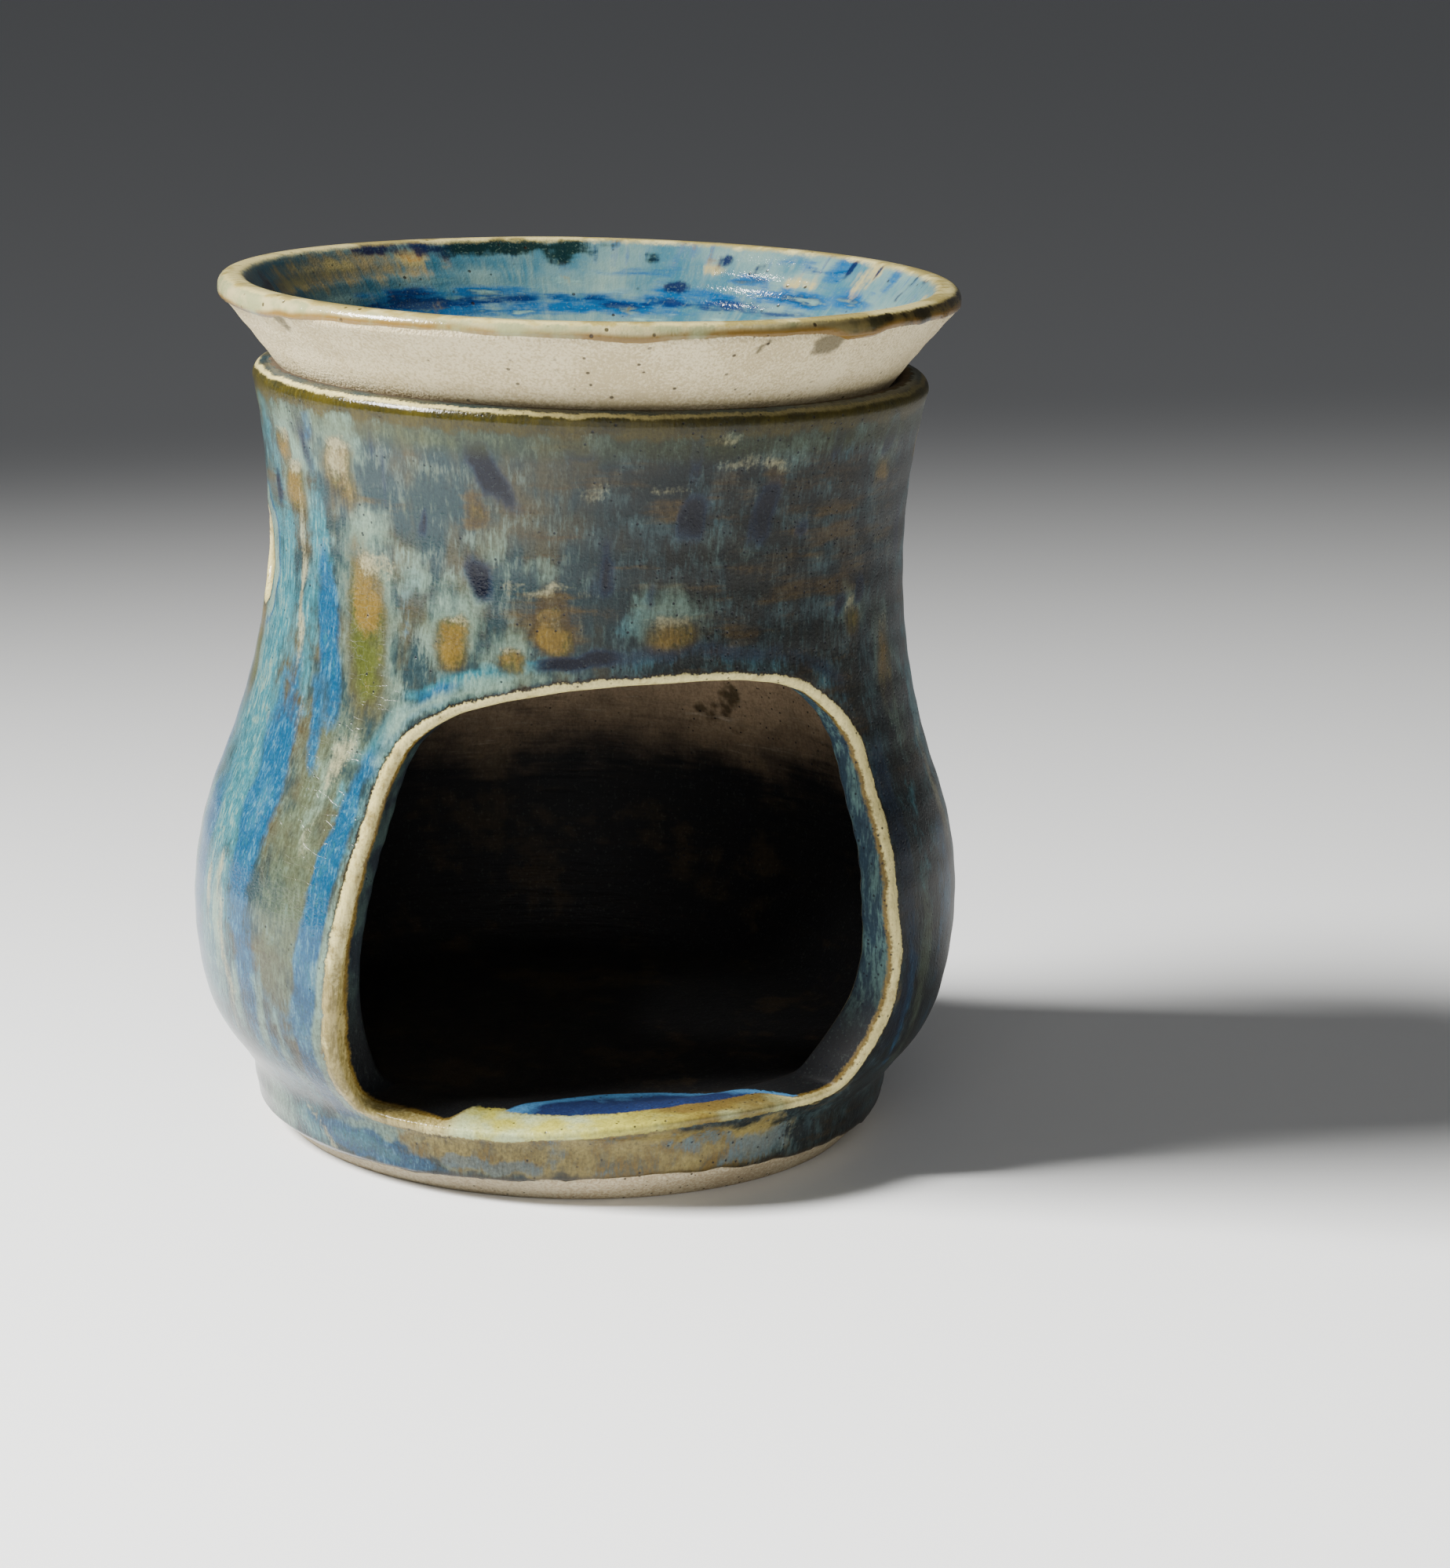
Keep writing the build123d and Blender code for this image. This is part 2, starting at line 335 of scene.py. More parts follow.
class Clay:
    """Grids of one piece, gathered with the numbers that say where in the glaze each point lies."""

    def __init__(self):
        self.points, self.faces, self.notes, self.count = [], [], [], 0

    def grid(self, points, notes, closed, keep=None):
        """Adds a grid of points, rows by columns. Point row * columns + column and its neighbours in
        the next row and column bound one face. A closed grid joins its last column to its first."""
        rows, across = points.shape[:2]
        row, column = np.mgrid[0:rows - 1, 0:across if closed else across - 1]
        beside = (column + 1) % across
        quads = np.stack([row * across + column, row * across + beside, (row + 1) * across + beside,
                          (row + 1) * across + column], -1)
        quads = quads.reshape(-1, 4) if keep is None else quads[keep]
        self.faces.append(quads + self.count)
        self.points.append(points.reshape(-1, 3))
        self.notes.append({name: np.broadcast_to(value, (rows, across)).reshape(-1)
                           for name, value in notes.items()})
        self.count += rows * across

    def noted(self, name):
        """One of the numbers, for all points of all grids."""
        return np.concatenate([note[name] for note in self.notes])

    def mesh(self, name, fields):
        """The mesh in metres, with each field as an attribute, its doubles merged and faces outward."""
        made = bpy.data.meshes.new(name)
        made.from_pydata(np.vstack(self.points) * MM, [], np.vstack(self.faces))
        for field, values in fields.items():
            made.attributes.new(field, "FLOAT", "POINT").data.foreach_set("value", values.astype(np.float32))
        surface = bmesh.new()
        surface.from_mesh(made)
        bmesh.ops.remove_doubles(surface, verts=surface.verts, dist=MERGE_WITHIN * MM)
        loose = [vertex for vertex in surface.verts if not vertex.link_faces]
        bmesh.ops.delete(surface, geom=loose, context="VERTS")
        bmesh.ops.recalc_face_normals(surface, faces=surface.faces)
        surface.to_mesh(made)
        open_edges = sum(edge.is_boundary for edge in surface.edges)
        surface.free()
        made.shade_smooth()
        piece = bpy.data.objects.new(name, made)
        bpy.context.scene.collection.objects.link(piece)
        print(name, "faces", len(made.polygons), "open edges", open_edges)
        return piece


print("grids merge points within", MERGE_WITHIN, "mm")

# %% [markdown]
# ## The outlines of the holes
# The door was cut by hand in the leather-hard clay, so its outline is a list of places that were
# measured, smoothed a little as a wet sponge does. The vents are round, made with a tube.
# %% Outline of the door and of a vent
door_edge = np.array([
    (-46.1, 14.6), (-46.3, 11.6), (-45.3, 10.2), (-42, 9.7), (-36, 9.4), (-29, 9.2), (-21, 9.3),
    (-13, 9.7), (-3, 10.5), (6, 11.3),
    (15, 11.8), (30, 11.9), (37, 11.8), (41, 12.4), (41.5, 15.4), (43.5, 18.6), (46.6, 23.4), (46.9, 29.6),
    (45.6, 36), (46.1, 44), (45.5, 53.3), (44.6, 56.6), (41.7, 60.2), (38.2, 62.6), (34.2, 64.6),
    (27.9, 66.2), (20, 67.1), (12.9, 67.3), (-0.5, 67), (-10.7, 66.2), (-21, 64.6), (-28.8, 62.8),
    (-34.1, 60.5), (-37.7, 57.9), (-39.8, 54.9), (-40.9, 51.2), (-41.4, 47), (-42.0, 43.2),
    (-42.5, 39.5), (-43.2, 35.5), (-44.1, 31.3), (-44.8, 27), (-45.4, 22.9), (-45.8, 18.6),
])
wall_radius = 46
MM_PER_DEGREE = math.radians(1) * wall_radius


def around(loop, values):
    """Values at even steps along a closed loop of points."""
    closed = np.vstack([loop, loop[:1]])
    length = np.concatenate([[0], np.cumsum(np.linalg.norm(np.diff(closed, axis=0), axis=1))])
    return np.column_stack([np.interp(values * length[-1], length, closed[:, axis]) for axis in (0, 1)])


def sponged(loop, width):
    """A closed loop blurred along its length by a bell curve, as a sum of turned copies."""
    count = 900
    even = around(loop, np.arange(count) / count)
    step = np.linalg.norm(even[1] - even[0])
    offsets = np.arange(-round(3 * width / step), round(3 * width / step) + 1)
    weights = np.exp(-0.5 * (offsets * step / width) ** 2)
    turned_copies = (np.roll(even, offset, axis=0) * weight for offset, weight in zip(offsets, weights))
    return sum(turned_copies) / weights.sum()


door_outline = sponged(door_edge * (MM_PER_DEGREE, 1), 1.0) / (MM_PER_DEGREE, 1)
vent_below_rim, vent_radius = 24.4, 6.2
vent_height = rim_height - vent_below_rim
vent_turn = np.radians(np.arange(360))
vent_outline = np.column_stack([
    np.degrees(np.arcsin(vent_radius * np.cos(vent_turn) / waist[0])),
    vent_height + vent_radius * np.sin(vent_turn),
])
print("door from", door_outline.min(0).round(1), "to", door_outline.max(0).round(1))

# %% [markdown]
# ## Filling a window
# A ray from the window's middle meets the border at one point and the hole's outline at another. Those
# two are joined, which spreads the rings evenly. The wiped edge is a quarter circle between the wall's
# surface and the cut, and the cut itself runs straight to the matching point on the inside.
# %% A hole in the wall
DOOR_ROUND, VENT_ROUND, INSET = 1.2, 0.8, 0.8
EDGE_STEPS, CUT_STEPS, RINGS = 7, 7, 11


def border(rows, cols):
    """Rows and columns of the grid points round a rectangle, anticlockwise from its lower left."""
    low, high, left, right = rows[0], rows[-1], cols[0], cols[-1]
    wide, tall = len(cols) - 1, len(rows) - 1
    row = np.concatenate([np.full(wide, low), rows[:-1], np.full(wide, high), rows[:0:-1]])
    column = np.concatenate([cols[:-1], np.full(tall, right), cols[:0:-1], np.full(tall, left)])
    return row, column


def on_rays(outline, middle, spread, angle, height):
    """The outline's points on the rays from a middle through given places. The ray's direction is the
    arctangent of height over angle, each divided by its spread."""
    ray = np.arctan2((height - middle[1]) / spread[1], (angle - middle[0]) / spread[0])
    own = np.arctan2((outline[:, 1] - middle[1]) / spread[1], (outline[:, 0] - middle[0]) / spread[0])
    order = np.argsort(own)
    return [np.interp(ray, own[order], outline[order, axis], period=math.tau) for axis in (0, 1)]


def outward(side, angle, run, distance):
    """A loop moved away from its hole by a distance along the surface: across the tangent, which is
    the difference of the two neighbours, with angles measured in millimetres."""
    mm_per_degree = np.radians(1) * side.flat(run)[0]
    across = (np.roll(angle, -1) - np.roll(angle, 1)) * mm_per_degree
    along = np.roll(run, -1) - np.roll(run, 1)
    length = np.hypot(across, along)
    return angle + along / length * distance / mm_per_degree, run - across / length * distance


def walked(grid):
    """Length walked over a grid's rows, from its first row: the running sum of the steps."""
    return np.cumsum(np.linalg.norm(np.diff(grid, axis=0, prepend=grid[:1]), axis=2), axis=0)


def open_hole(clay, rows, cols, outline, inner_angle, inner_height, rounding):
    """Fills a window in both sides of the wall and gives the crest of the outer edge. A point of a
    wiped edge lies a rounding times (1 - sine) off the cut and a rounding times (1 - cosine) into
    the wall, and the cut between them is straight. The cut lies a little inside the outline, so that
    the outline falls within the wiped edge."""
    row, column = border(rows, cols)
    middle = (columns[cols].mean(), (heights[rows[0]] + heights[rows[-1]]) / 2)
    spread = (np.ptp(columns[cols]), np.ptp(heights[rows]))
    angle, height = on_rays(outline, middle, spread, columns[column], heights[row])
    angle, run = outward(outside, angle, outside.run_at(height), -INSET * rounding)
    in_angle, in_run = inner_angle(angle), inside.run_at(inner_height(outside.flat(run)[1]))
    into = inside.place(in_angle, in_run) - outside.place(angle, run)
    into /= np.linalg.norm(into, axis=1)[:, None]
    turns = np.radians(np.linspace(0, 90, EDGE_STEPS))
    off = [rounding * (1 - math.sin(turn)) for turn in turns]
    sunk = [into * rounding * (1 - math.cos(turn)) for turn in turns]
    outer_edge = [outward(outside, angle, run, distance) for distance in off]
    inner_edge = [outward(inside, in_angle, in_run, distance) for distance in off]
    outer = [outside.place(*edge) + depth for edge, depth in zip(outer_edge, sunk)]
    inner = [inside.place(*edge) - depth for edge, depth in zip(inner_edge, sunk)]
    straight = [outer[-1] * (1 - share) + inner[-1] * share for share in np.linspace(0, 1, CUT_STEPS)[1:-1]]
    cut = np.array(outer + straight + inner[::-1])
    deep = walked(cut)
    share = deep / deep[-1]
    clay.grid(cut, {"side": share, "angle": angle + (in_angle - angle) * share, "edge": -deep,
                    "inner": deep[-1] - deep, "part": 1}, True)
    for side, edge, side_rows, number in ((outside, outer_edge[0], outside_rows[row], 0),
                                          (inside, inner_edge[0], inside_rows[row - row_step], 1)):
        reach = np.linspace(0, 1, RINGS)[:, None]
        ring_angle = edge[0] * (1 - reach) + columns[column] * reach
        ring = side.place(ring_angle, edge[1] * (1 - reach) + side_rows * reach)
        clay.grid(ring, {"side": number, "angle": ring_angle, "edge": FAR * (1 - 2 * number),
                         "inner": -walked(ring) if number else FAR, "part": 2 * number}, True)
    return cut[0]


print("a hole's edge has", EDGE_STEPS, "rows, its cut", CUT_STEPS, "and its window", RINGS, "rings")

# %% [markdown]
# Now the pot is thrown: two grids, outside and inside, with a window left open for the door and one for
# each vent. The inside's windows start fewer rows up, because its floor has fewer rows than the outside
# has below the door. The door's jambs point at the axis, and the sill stays above the floor.
# %% Throw the pot and cut its holes
pot_clay = Clay()
door_rows = np.arange(door_bottom, row_near(73) + 1)
door_cols = np.arange(column_near(-57), column_near(57) + 1)
vent_rows = np.arange(row_near(65.5), row_near(84) + 1)
VENT_REACH = 11
vents = {middle: np.arange(column_near(middle) - VENT_REACH, column_near(middle) + VENT_REACH + 1)
         for middle in (-90, 90)}

for side, rows, shift, number in ((outside, outside_rows, 0, 0), (inside, inside_rows, row_step, 1)):
    keep = np.ones((len(rows) - 1, COLUMNS), bool)
    for window_rows, cols in ((door_rows, door_cols), (vent_rows, vents[-90]), (vent_rows, vents[90])):
        keep[window_rows[0] - shift:window_rows[-1] - shift, cols[0]:cols[-1]] = False
    angle, run = np.broadcast_arrays(columns[None, :], rows[:, None])
    away = FAR * (1 - 2 * number)
    pot_clay.grid(side.place(angle, run), {
        "side": number, "angle": angle, "edge": away, "inner": away, "part": 2 * number}, True, keep)

sill = floor_height + 0.35
crests = [open_hole(pot_clay, door_rows, door_cols, door_outline, lambda angle: angle,
                    lambda height: np.maximum(height, sill), DOOR_ROUND)]
for middle, cols in vents.items():
    crests.append(open_hole(
        pot_clay, vent_rows, cols, vent_outline + (middle, 0),
        lambda angle, middle=middle: middle + (angle - middle) * waist[0] / narrow[0],
        lambda height: height, VENT_ROUND))
print("grid points", pot_clay.count, "crest points", [len(crest) for crest in crests])

# %% [markdown]
# ## Where the glaze is thick and where it is thin
# The glaze can't be one noise pattern: its marks sit in places that the eye compares. An image could
# hold them, but it would blur, stretch and need a seam. So each kind of mark is a table of places, and
# a function turns the table into a soft number at every point of the mesh. The material then roughens
# the edge of that number with noise, so a mark stays sharp at any size.
# %% Soft marks from a table
NECK_RADIUS = 42


def spots(angle, along, radius, table):
    """The strongest of several marks at each point. A mark is 1 inside and 0 outside, and falls where
    the cube root of (across over half width) cubed plus (along over half height) cubed passes 1. A
    lean slides the mark sideways as it goes up."""
    field = np.zeros_like(angle)
    for middle, level, half_width, half_height, slant, strength in table:
        turn = (angle - middle + 180) % 360 - 180
        across = np.radians(turn) * radius - slant * (along - level)
        reach = np.cbrt(np.abs(across / half_width) ** 3 + np.abs((along - level) / half_height) ** 3)
        field = np.maximum(field, strength * smooth(reach, 1.75, 0.25))
    return field


def haloes(table, wide, above):
    """The pale rim round each mark of a table: the same mark, wider all round and pushed up."""
    return [(middle, level + above * min(1, half_height / 2), half_width + wide, half_height + wide,
             slant, strength)
            for middle, level, half_width, half_height, slant, strength in table]


def crowns(table):
    """The pale cap on the upper end of each mark: as wide as the mark, and a millimetre or so high."""
    return [(middle - math.degrees(0.5 * slant * half_height / NECK_RADIUS), level + 0.9 * half_height,
             half_width * 0.9, 0.5 + 0.12 * half_height, slant, 0.8 * strength)
            for middle, level, half_width, half_height, slant, strength in table]


def scattered(seed, count, first, last, levels, widths, tall, strength):
    """Marks in even columns from a first to a last angle, each pushed off its place at random, for
    the sides that the maker's hand treated alike."""
    pick = np.random.default_rng(seed)
    middles = np.linspace(first, last, count) + pick.uniform(-4, 4, count)
    half_widths = pick.uniform(*widths, count)
    return list(zip(middles, pick.uniform(*levels, count), half_widths,
                    half_widths * pick.uniform(*tall, count), pick.uniform(-0.12, 0.12, count),
                    pick.uniform(0.75, 1, count) * strength))


print("a mark at its middle and 2 half widths out", spots(
    np.array([0.0, 2.0]), np.zeros(2), math.degrees(1), [(0, 0, 1, 1, 0, 1)]))

# %% [markdown]
# The tables follow the front as it is seen, one table to a kind of mark. A mark's place is where its
# middle lies. Nobody sees the back, so its marks are scattered with fixed seeds, the same on each run.
# %% Tables of the pot's marks: angle, height, half width, half height, slant, strength
thin_windows = [
    (-47.6, 69.8, 3, 9.6, -0.18, 1), (-29.7, 70.2, 2.4, 3.4, 0, 1), (-54.7, 89.7, 3.2, 3.8, 0, 0.9),
    (-68.9, 86, 2.6, 3.2, -0.1, 0.9), (-72.9, 90.8, 1.7, 1.9, 0, 0.8), (-20.5, 68.3, 1.7, 1.3, 0, 0.75),
    (46.1, 71.2, 1.7, 1.8, 0, 0.9), (56.5, 65.5, 1.8, 5, 0, 0.7), (6.7, 72.6, 3.2, 1.9, 0.1, 0.85),
    (52.9, 89.8, 1.9, 1.7, 0, 0.75), (-12.7, 71.5, 2, 1.6, 0, 1), (-13.2, 74.4, 3, 0.8, 0, 0.6),
    (-27, 86.8, 1.4, 1.9, 0, 0.6),
]
far_windows = scattered(2, 8, 78, 262, (84, 92), (2.0, 3.2), (0.9, 1.5), 0.95)
far_windows += scattered(3, 7, 88, 272, (64, 74), (2.0, 3.0), (1.2, 3.4), 1.0)
brown_patches = [
    (-14, 73.4, 4.2, 3.8, 0, 1), (5.8, 87.6, 2.5, 2.2, 0, 0.75), (16.5, 90, 3.2, 1.7, 0, 0.8),
    (23.9, 90.2, 1.8, 1.7, 0, 0.9), (20.4, 71.9, 3.2, 1.6, 0, 0.85), (36.2, 76.6, 9, 1.5, 0.1, 0.9),
    (41.4, 86.6, 5, 1.1, 0.12, 0.85), (38, 82.5, 7.5, 1.6, 0.1, 0.75), (26, 79.5, 9, 1.6, 0.1, 0.6),
    (-27, 86.8, 1.6, 2.4, 0, 0.8), (-45, 84.2, 5.5, 3.5, 0, 0.5), (-4.5, 91.2, 5, 1.8, 0, 0.45),
    (12.5, 95.4, 2, 0.8, 0, 0.7), (-12, 94.5, 3, 0.7, 0, 0.7), (46, 79, 6, 5, 0, 0.55),
    (57, 84, 6, 8, 0, 0.5), (8, 78, 7, 3, 0, 0.35),
]
far_browns = scattered(4, 14, 72, 275, (60, 92), (3.0, 7.0), (0.3, 0.8), 0.75)
caps = [
    (-14.4, 77.6, 4.6, 0.8, -0.05, 0.75), (14.1, 96.4, 2.4, 0.8, 0, 0.6), (17.6, 92.3, 2.8, 0.8, 0, 0.6),
    (24.4, 92.3, 1.9, 0.8, 0, 0.7), (5.6, 90.3, 2.5, 0.8, 0, 0.6), (-7.2, 89.6, 1.8, 1, 0, 0.4),
    (-11, 96, 2.2, 0.8, 0, 0.5), (-54.9, 90.2, 2.2, 2.6, 0, 0.75), (-49.4, 53.6, 1.1, 3.4, 0.25, 0.8),
    (-51.5, 46, 1.1, 3.6, 0.25, 0.4), (-66.2, 73.5, 0.7, 11, -0.05, 0.7), (-72.9, 36.8, 0.9, 4, -0.2, 0.8),
    (-70, 25, 1, 9, -0.15, 0.75), (-56.6, 5.6, 0.8, 3.2, -1, 0.9), (45.2, 74, 0.9, 1.5, 0.3, 0.8),
    (-62, 57, 0.7, 8, 0, 0.35), (-10.5, 6.8, 1.6, 2.6, 0, 0.4), (33.5, 7.5, 3, 1.8, 0.6, 0.4),
]
milky_runs = [
    (-50.8, 51.5, 1.6, 6, 0.25, 0.65), (-60.4, 20, 1.1, 5, -0.1, 0.85), (-55.6, 17.5, 1.1, 5, -0.15, 0.85),
    (-73, 31, 1.5, 10, -0.1, 0.8), (-67.5, 22, 1, 6, -0.1, 0.6), (-40, 7.6, 8, 0.7, -2.4, 0.9),
    (-70, 6, 6, 3, 0, 0.9), (-24.5, 4.4, 5, 0.5, 0, 0.8), (28, 6, 4.5, 1.7, 0.8, 0.7),
    (-47.5, 82.5, 4.6, 3.2, 0, 0.7), (-38, 78, 2.4, 4, 0, 0.5), (-24, 82.5, 2.6, 2.4, 0, 0.45),
    (-16, 79.6, 5.4, 1.2, -0.05, 0.5), (17, 82, 5, 2.2, 0, 0.35), (30, 93.5, 5, 2.4, 0, 0.4),
]
far_caps = scattered(5, 12, 68, 285, (20, 60), (1.1, 2.0), (3.0, 6.0), 0.8)
cobalt = [
    (-24, 91.3, 1.8, 3.6, -0.62, 1.15), (-36.3, 84.6, 0.9, 1.7, 0, 0.9), (-25, 78.1, 1.6, 2.3, -0.15, 1.1),
    (9.7, 93.7, 0.9, 2.6, 0, 0.9), (10.3, 86.5, 1.6, 2.6, 0, 1.1), (22.8, 86.2, 1.7, 3, 0.1, 1.15),
    (-4.7, 80.2, 1.2, 2.9, 0, 1), (37.3, 95.1, 1.1, 2, 0.1, 0.95), (53.3, 93.8, 1.2, 1.9, 0.2, 0.9),
    (48, 75.6, 1.1, 1.9, 0, 1), (41.9, 74, 0.9, 1.3, 0.3, 0.85), (30.7, 83.8, 0.6, 0.8, 0, 0.8),
    (-9.5, 93.4, 2.4, 0.9, 0, 0.6), (4, 77, 0.9, 1.2, 0, 0.5), (-46, 93.8, 0.6, 2.2, 0, 0.55),
    (-44, 88.5, 0.5, 4, 0, 0.45), (-64.5, 92, 0.9, 4.5, -0.3, 0.6), (11.3, 6, 1, 1.1, 0, 0.8),
    (16.5, 5.4, 1.3, 1.1, 0, 1),
]
far_cobalt = scattered(7, 15, 64, 283, (68, 94), (0.8, 1.4), (1.6, 2.6), 0.95)
azure_runs = [
    (-56, 68.5, 1.9, 9.5, -0.26, 1), (-56.4, 57.5, 1.5, 6, -0.1, 0.8), (-66, 47, 3.6, 16, 0, 1),
    (-64, 26, 3, 9, -0.1, 0.85), (-56.5, 17.5, 3.4, 7, 0, 0.6), (-62.4, 94.4, 1.8, 2, 0, 0.7),
    (-84, 34, 4, 16, 0, 0.85), (-97, 52, 4, 18, 0, 0.9), (-44.5, 5, 7.6, 2, -2.4, 1.6),
    (50.7, 24, 1.1, 12, 0, 0.85), (62.3, 28, 1.2, 14, 0, 0.5), (-39.5, 74, 1.6, 7, 0.1, 0.4),
]
far_azure = scattered(8, 13, 68, 262, (22, 58), (2.2, 4.6), (3.0, 5.0), 0.95)
turquoise_runs = [
    (-80, 62, 9, 26, 0, 1), (-80, 36, 12, 22, 0, 1), (-112, 46, 13, 40, 0, 0.9), (-78, 92, 5, 6, 0, 0.8),
    (-60.5, 80, 2.4, 9, -0.2, 0.85), (-62.5, 67, 2.4, 9, 0, 0.75), (-59, 14, 7, 5, 0, 0.8),
    (-62, 6.5, 8, 3.4, 0, 0.8), (-42, 8.6, 8, 0.8, -2.2, 0.5), (56.5, 44, 3, 9, 0, 0.45),
    (-52, 95, 5, 2, 0, 0.35), (40, 91, 5, 2, 0, 0.3), (0, 74.5, 3.5, 2.2, 0, 0.4),
]
far_turquoise = scattered(9, 12, 70, 232, (30, 62), (5.0, 9.0), (2.0, 3.4), 0.85)
olive_fields = [
    (-53, 42, 7, 22, 0, 0.8), (-45.6, 60, 2.4, 6, 0, 0.7), (-33, 95.2, 9, 1.2, 0, 0.6),
    (55.7, 26, 1.6, 14, 0, 0.9), (60, 58, 5, 9, 0, 0.5), (-36.5, 88, 3, 5, 0, 0.4),
]
far_olive = scattered(10, 9, 80, 270, (26, 70), (3.0, 6.0), (1.6, 3.0), 0.7)
beige_fields = [
    (-20, 7.4, 11, 3.6, -0.8, 1), (4, 7.2, 18, 3.6, 0, 1), (24, 7.6, 5, 3.4, 0, 0.8),
    (-36, 11.4, 7, 1.5, -0.6, 1),
]
mist_fields = [
    (-26, 5, 3.4, 0.9, 0, 0.9), (-18, 4.9, 4, 1, 0, 0.9), (-9.5, 6.4, 1.8, 3, 0, 0.7),
    (13, 8.4, 7, 1.6, 0.2, 0.6), (27, 6.6, 4.5, 2.2, 0.5, 0.9), (-3, 5, 2.4, 0.8, 0, 0.5),
]
crazed_fields = [
    (-53, 45, 9, 24, 0, 1), (-46.6, 68, 4.5, 10, -0.18, 1), (-2, 12.6, 24, 1.6, 0, 0.9),
]
print("marks", sum(map(len, (
    thin_windows, far_windows, brown_patches, caps, cobalt, azure_runs, turquoise_runs))))

# %% [markdown]
# Round the door the glaze pulled back from the sharp edge and pooled beside it. That follows from the
# distance to the crest of the edge, which is measured from every point outside to the nearest point of
# the three crests.
# %% Numbers for the pot's material
points = np.vstack(pot_clay.points)
angle, side, part = (pot_clay.noted(name) for name in ("angle", "side", "part"))
edge, inner = pot_clay.noted("edge"), pot_clay.noted("inner")
height = points[:, 2]
radius = np.hypot(points[:, 0] - lean(height), points[:, 1])

batches = np.array_split(np.flatnonzero((part == 0) & (height > 2) & (height < 88)), 40)
for crest in crests:
    share = np.arange(len(crest) * 2) / 2
    closed = np.vstack([crest, crest[:1]])
    fine = np.column_stack([
        np.interp(share, np.arange(len(closed)), closed[:, axis]) for axis in range(3)])
    for place in batches:
        gap = np.sqrt(((points[place][:, None, :] - fine[None, :, :]) ** 2).sum(-1)).min(1)
        edge[place] = np.minimum(edge[place], gap)

left_side = smooth(angle, -30, -42) * smooth(height, 62, 50)
head_left = smooth(angle, -3, -20) * smooth(height, 50, 60)
head_right = smooth(angle, -20, 5) * smooth(height, 58, 64)
right_side = smooth(angle, 36, 43) * smooth(height, 62, 50) * smooth(height, 12, 20)
wobble = 0.5 * mottle(angle / 3 + 60, height / 5, 21, 120)
band = edge + wobble


def near(low, high, fade):
    """A band of distances from the door's crest: rises over a fade at its low end, falls at its high."""
    return smooth(band, low - fade, low + fade) * smooth(band, high + fade, high - fade) * (part == 0)


flow_width = np.interp(height, [14, 22, 38, 46, 58], [4.2, 5.6, 5.8, 4.4, 3.4])
door_azure = left_side * smooth(band, 1.0, 2.0) * smooth(band, flow_width + 0.8, flow_width - 0.4)
door_azure = door_azure * (part == 0)
door_milk = smooth(angle, -30, -38) * smooth(height, 46, 34) * near(0.2, 1.8, 0.4)
door_azure = np.maximum(door_azure, 0.9 * head_left * near(1.0, 3.2, 0.6) * smooth(angle, -20, -34))
door_milk = np.maximum(door_milk, 0.9 * head_left * near(0.4, 2.6, 0.5))
door_turquoise = np.maximum(head_left * near(1.4, 3.8, 0.7), 0.25 * head_right * near(0.6, 2.4, 0.6))
door_turquoise = np.maximum(door_turquoise, 0.4 * left_side * near(0.5, 6.0, 0.6))
door_cobalt = smooth(angle, -19, -13) * smooth(angle, 2, -5) * near(1.6, 3.4, 0.6) * (height > 60)
door_cobalt = np.maximum(door_cobalt, 0.4 * head_right * near(1.4, 3.6, 0.8))
door_cobalt = np.maximum(door_cobalt, 0.5 * right_side * near(1.0, 5.0, 1.0))
door_tan = smooth(angle, -28, -38) * smooth(height, 40, 22) * near(-0.5, 0.7, 0.3)
door_tan = np.maximum(door_tan, smooth(angle, 30, 38) * smooth(height, 30, 18) * near(-0.5, 1.0, 0.4))

lip_run = outside.run_at(rim_height - 0.25)
from_lip = np.where(part == 0, lip_run - outside.run_at(np.minimum(height, rim_height - 0.01)), FAR)
top_radius = lip[0] - 0.55
on_top = (height > rim_height - 2.2) & (radius < top_radius)
from_lip = np.where(on_top, radius - top_radius, from_lip)
out = (part == 0).astype(float)
# A painted patch of light on the floor behind the sill, where the floor's blue glaze would be lit: its curved
# back edge is the edge of a shadow.
lit_floor_back = -30.8 - 6.0 * ((points[:, 0] - 4) / 19) ** 2
lit_floor_patch = smooth(points[:, 1], lit_floor_back + 0.6, lit_floor_back - 4.0)
lit_floor_patch = lit_floor_patch * (part > 0) * (height < 14) * (points[:, 1] < 0)

wander_across = 0.9 * mottle(angle / 2.5 + 80, height / 4.5, 22, 144)
wander_across = wander_across + 0.3 * mottle(angle / 1.2 + 180, height / 1.8, 23, 300)
wander_along = 0.8 * mottle(angle / 4 + 60, height / 3, 24, 90)
wander_along = wander_along + 0.3 * mottle(angle / 1.2 + 150, height / 1.6, 25, 300)


def marks(*tables):
    """The marks of some tables on the outside, each bent by the same wander, which keeps them from
    looking stamped: its two parts shift a point by about a millimetre across and along."""
    reach = np.maximum(radius, 30)
    bent_angle = angle + np.degrees(wander_across / reach)
    return spots(bent_angle, height + wander_along, reach, sum(tables, [])) * out


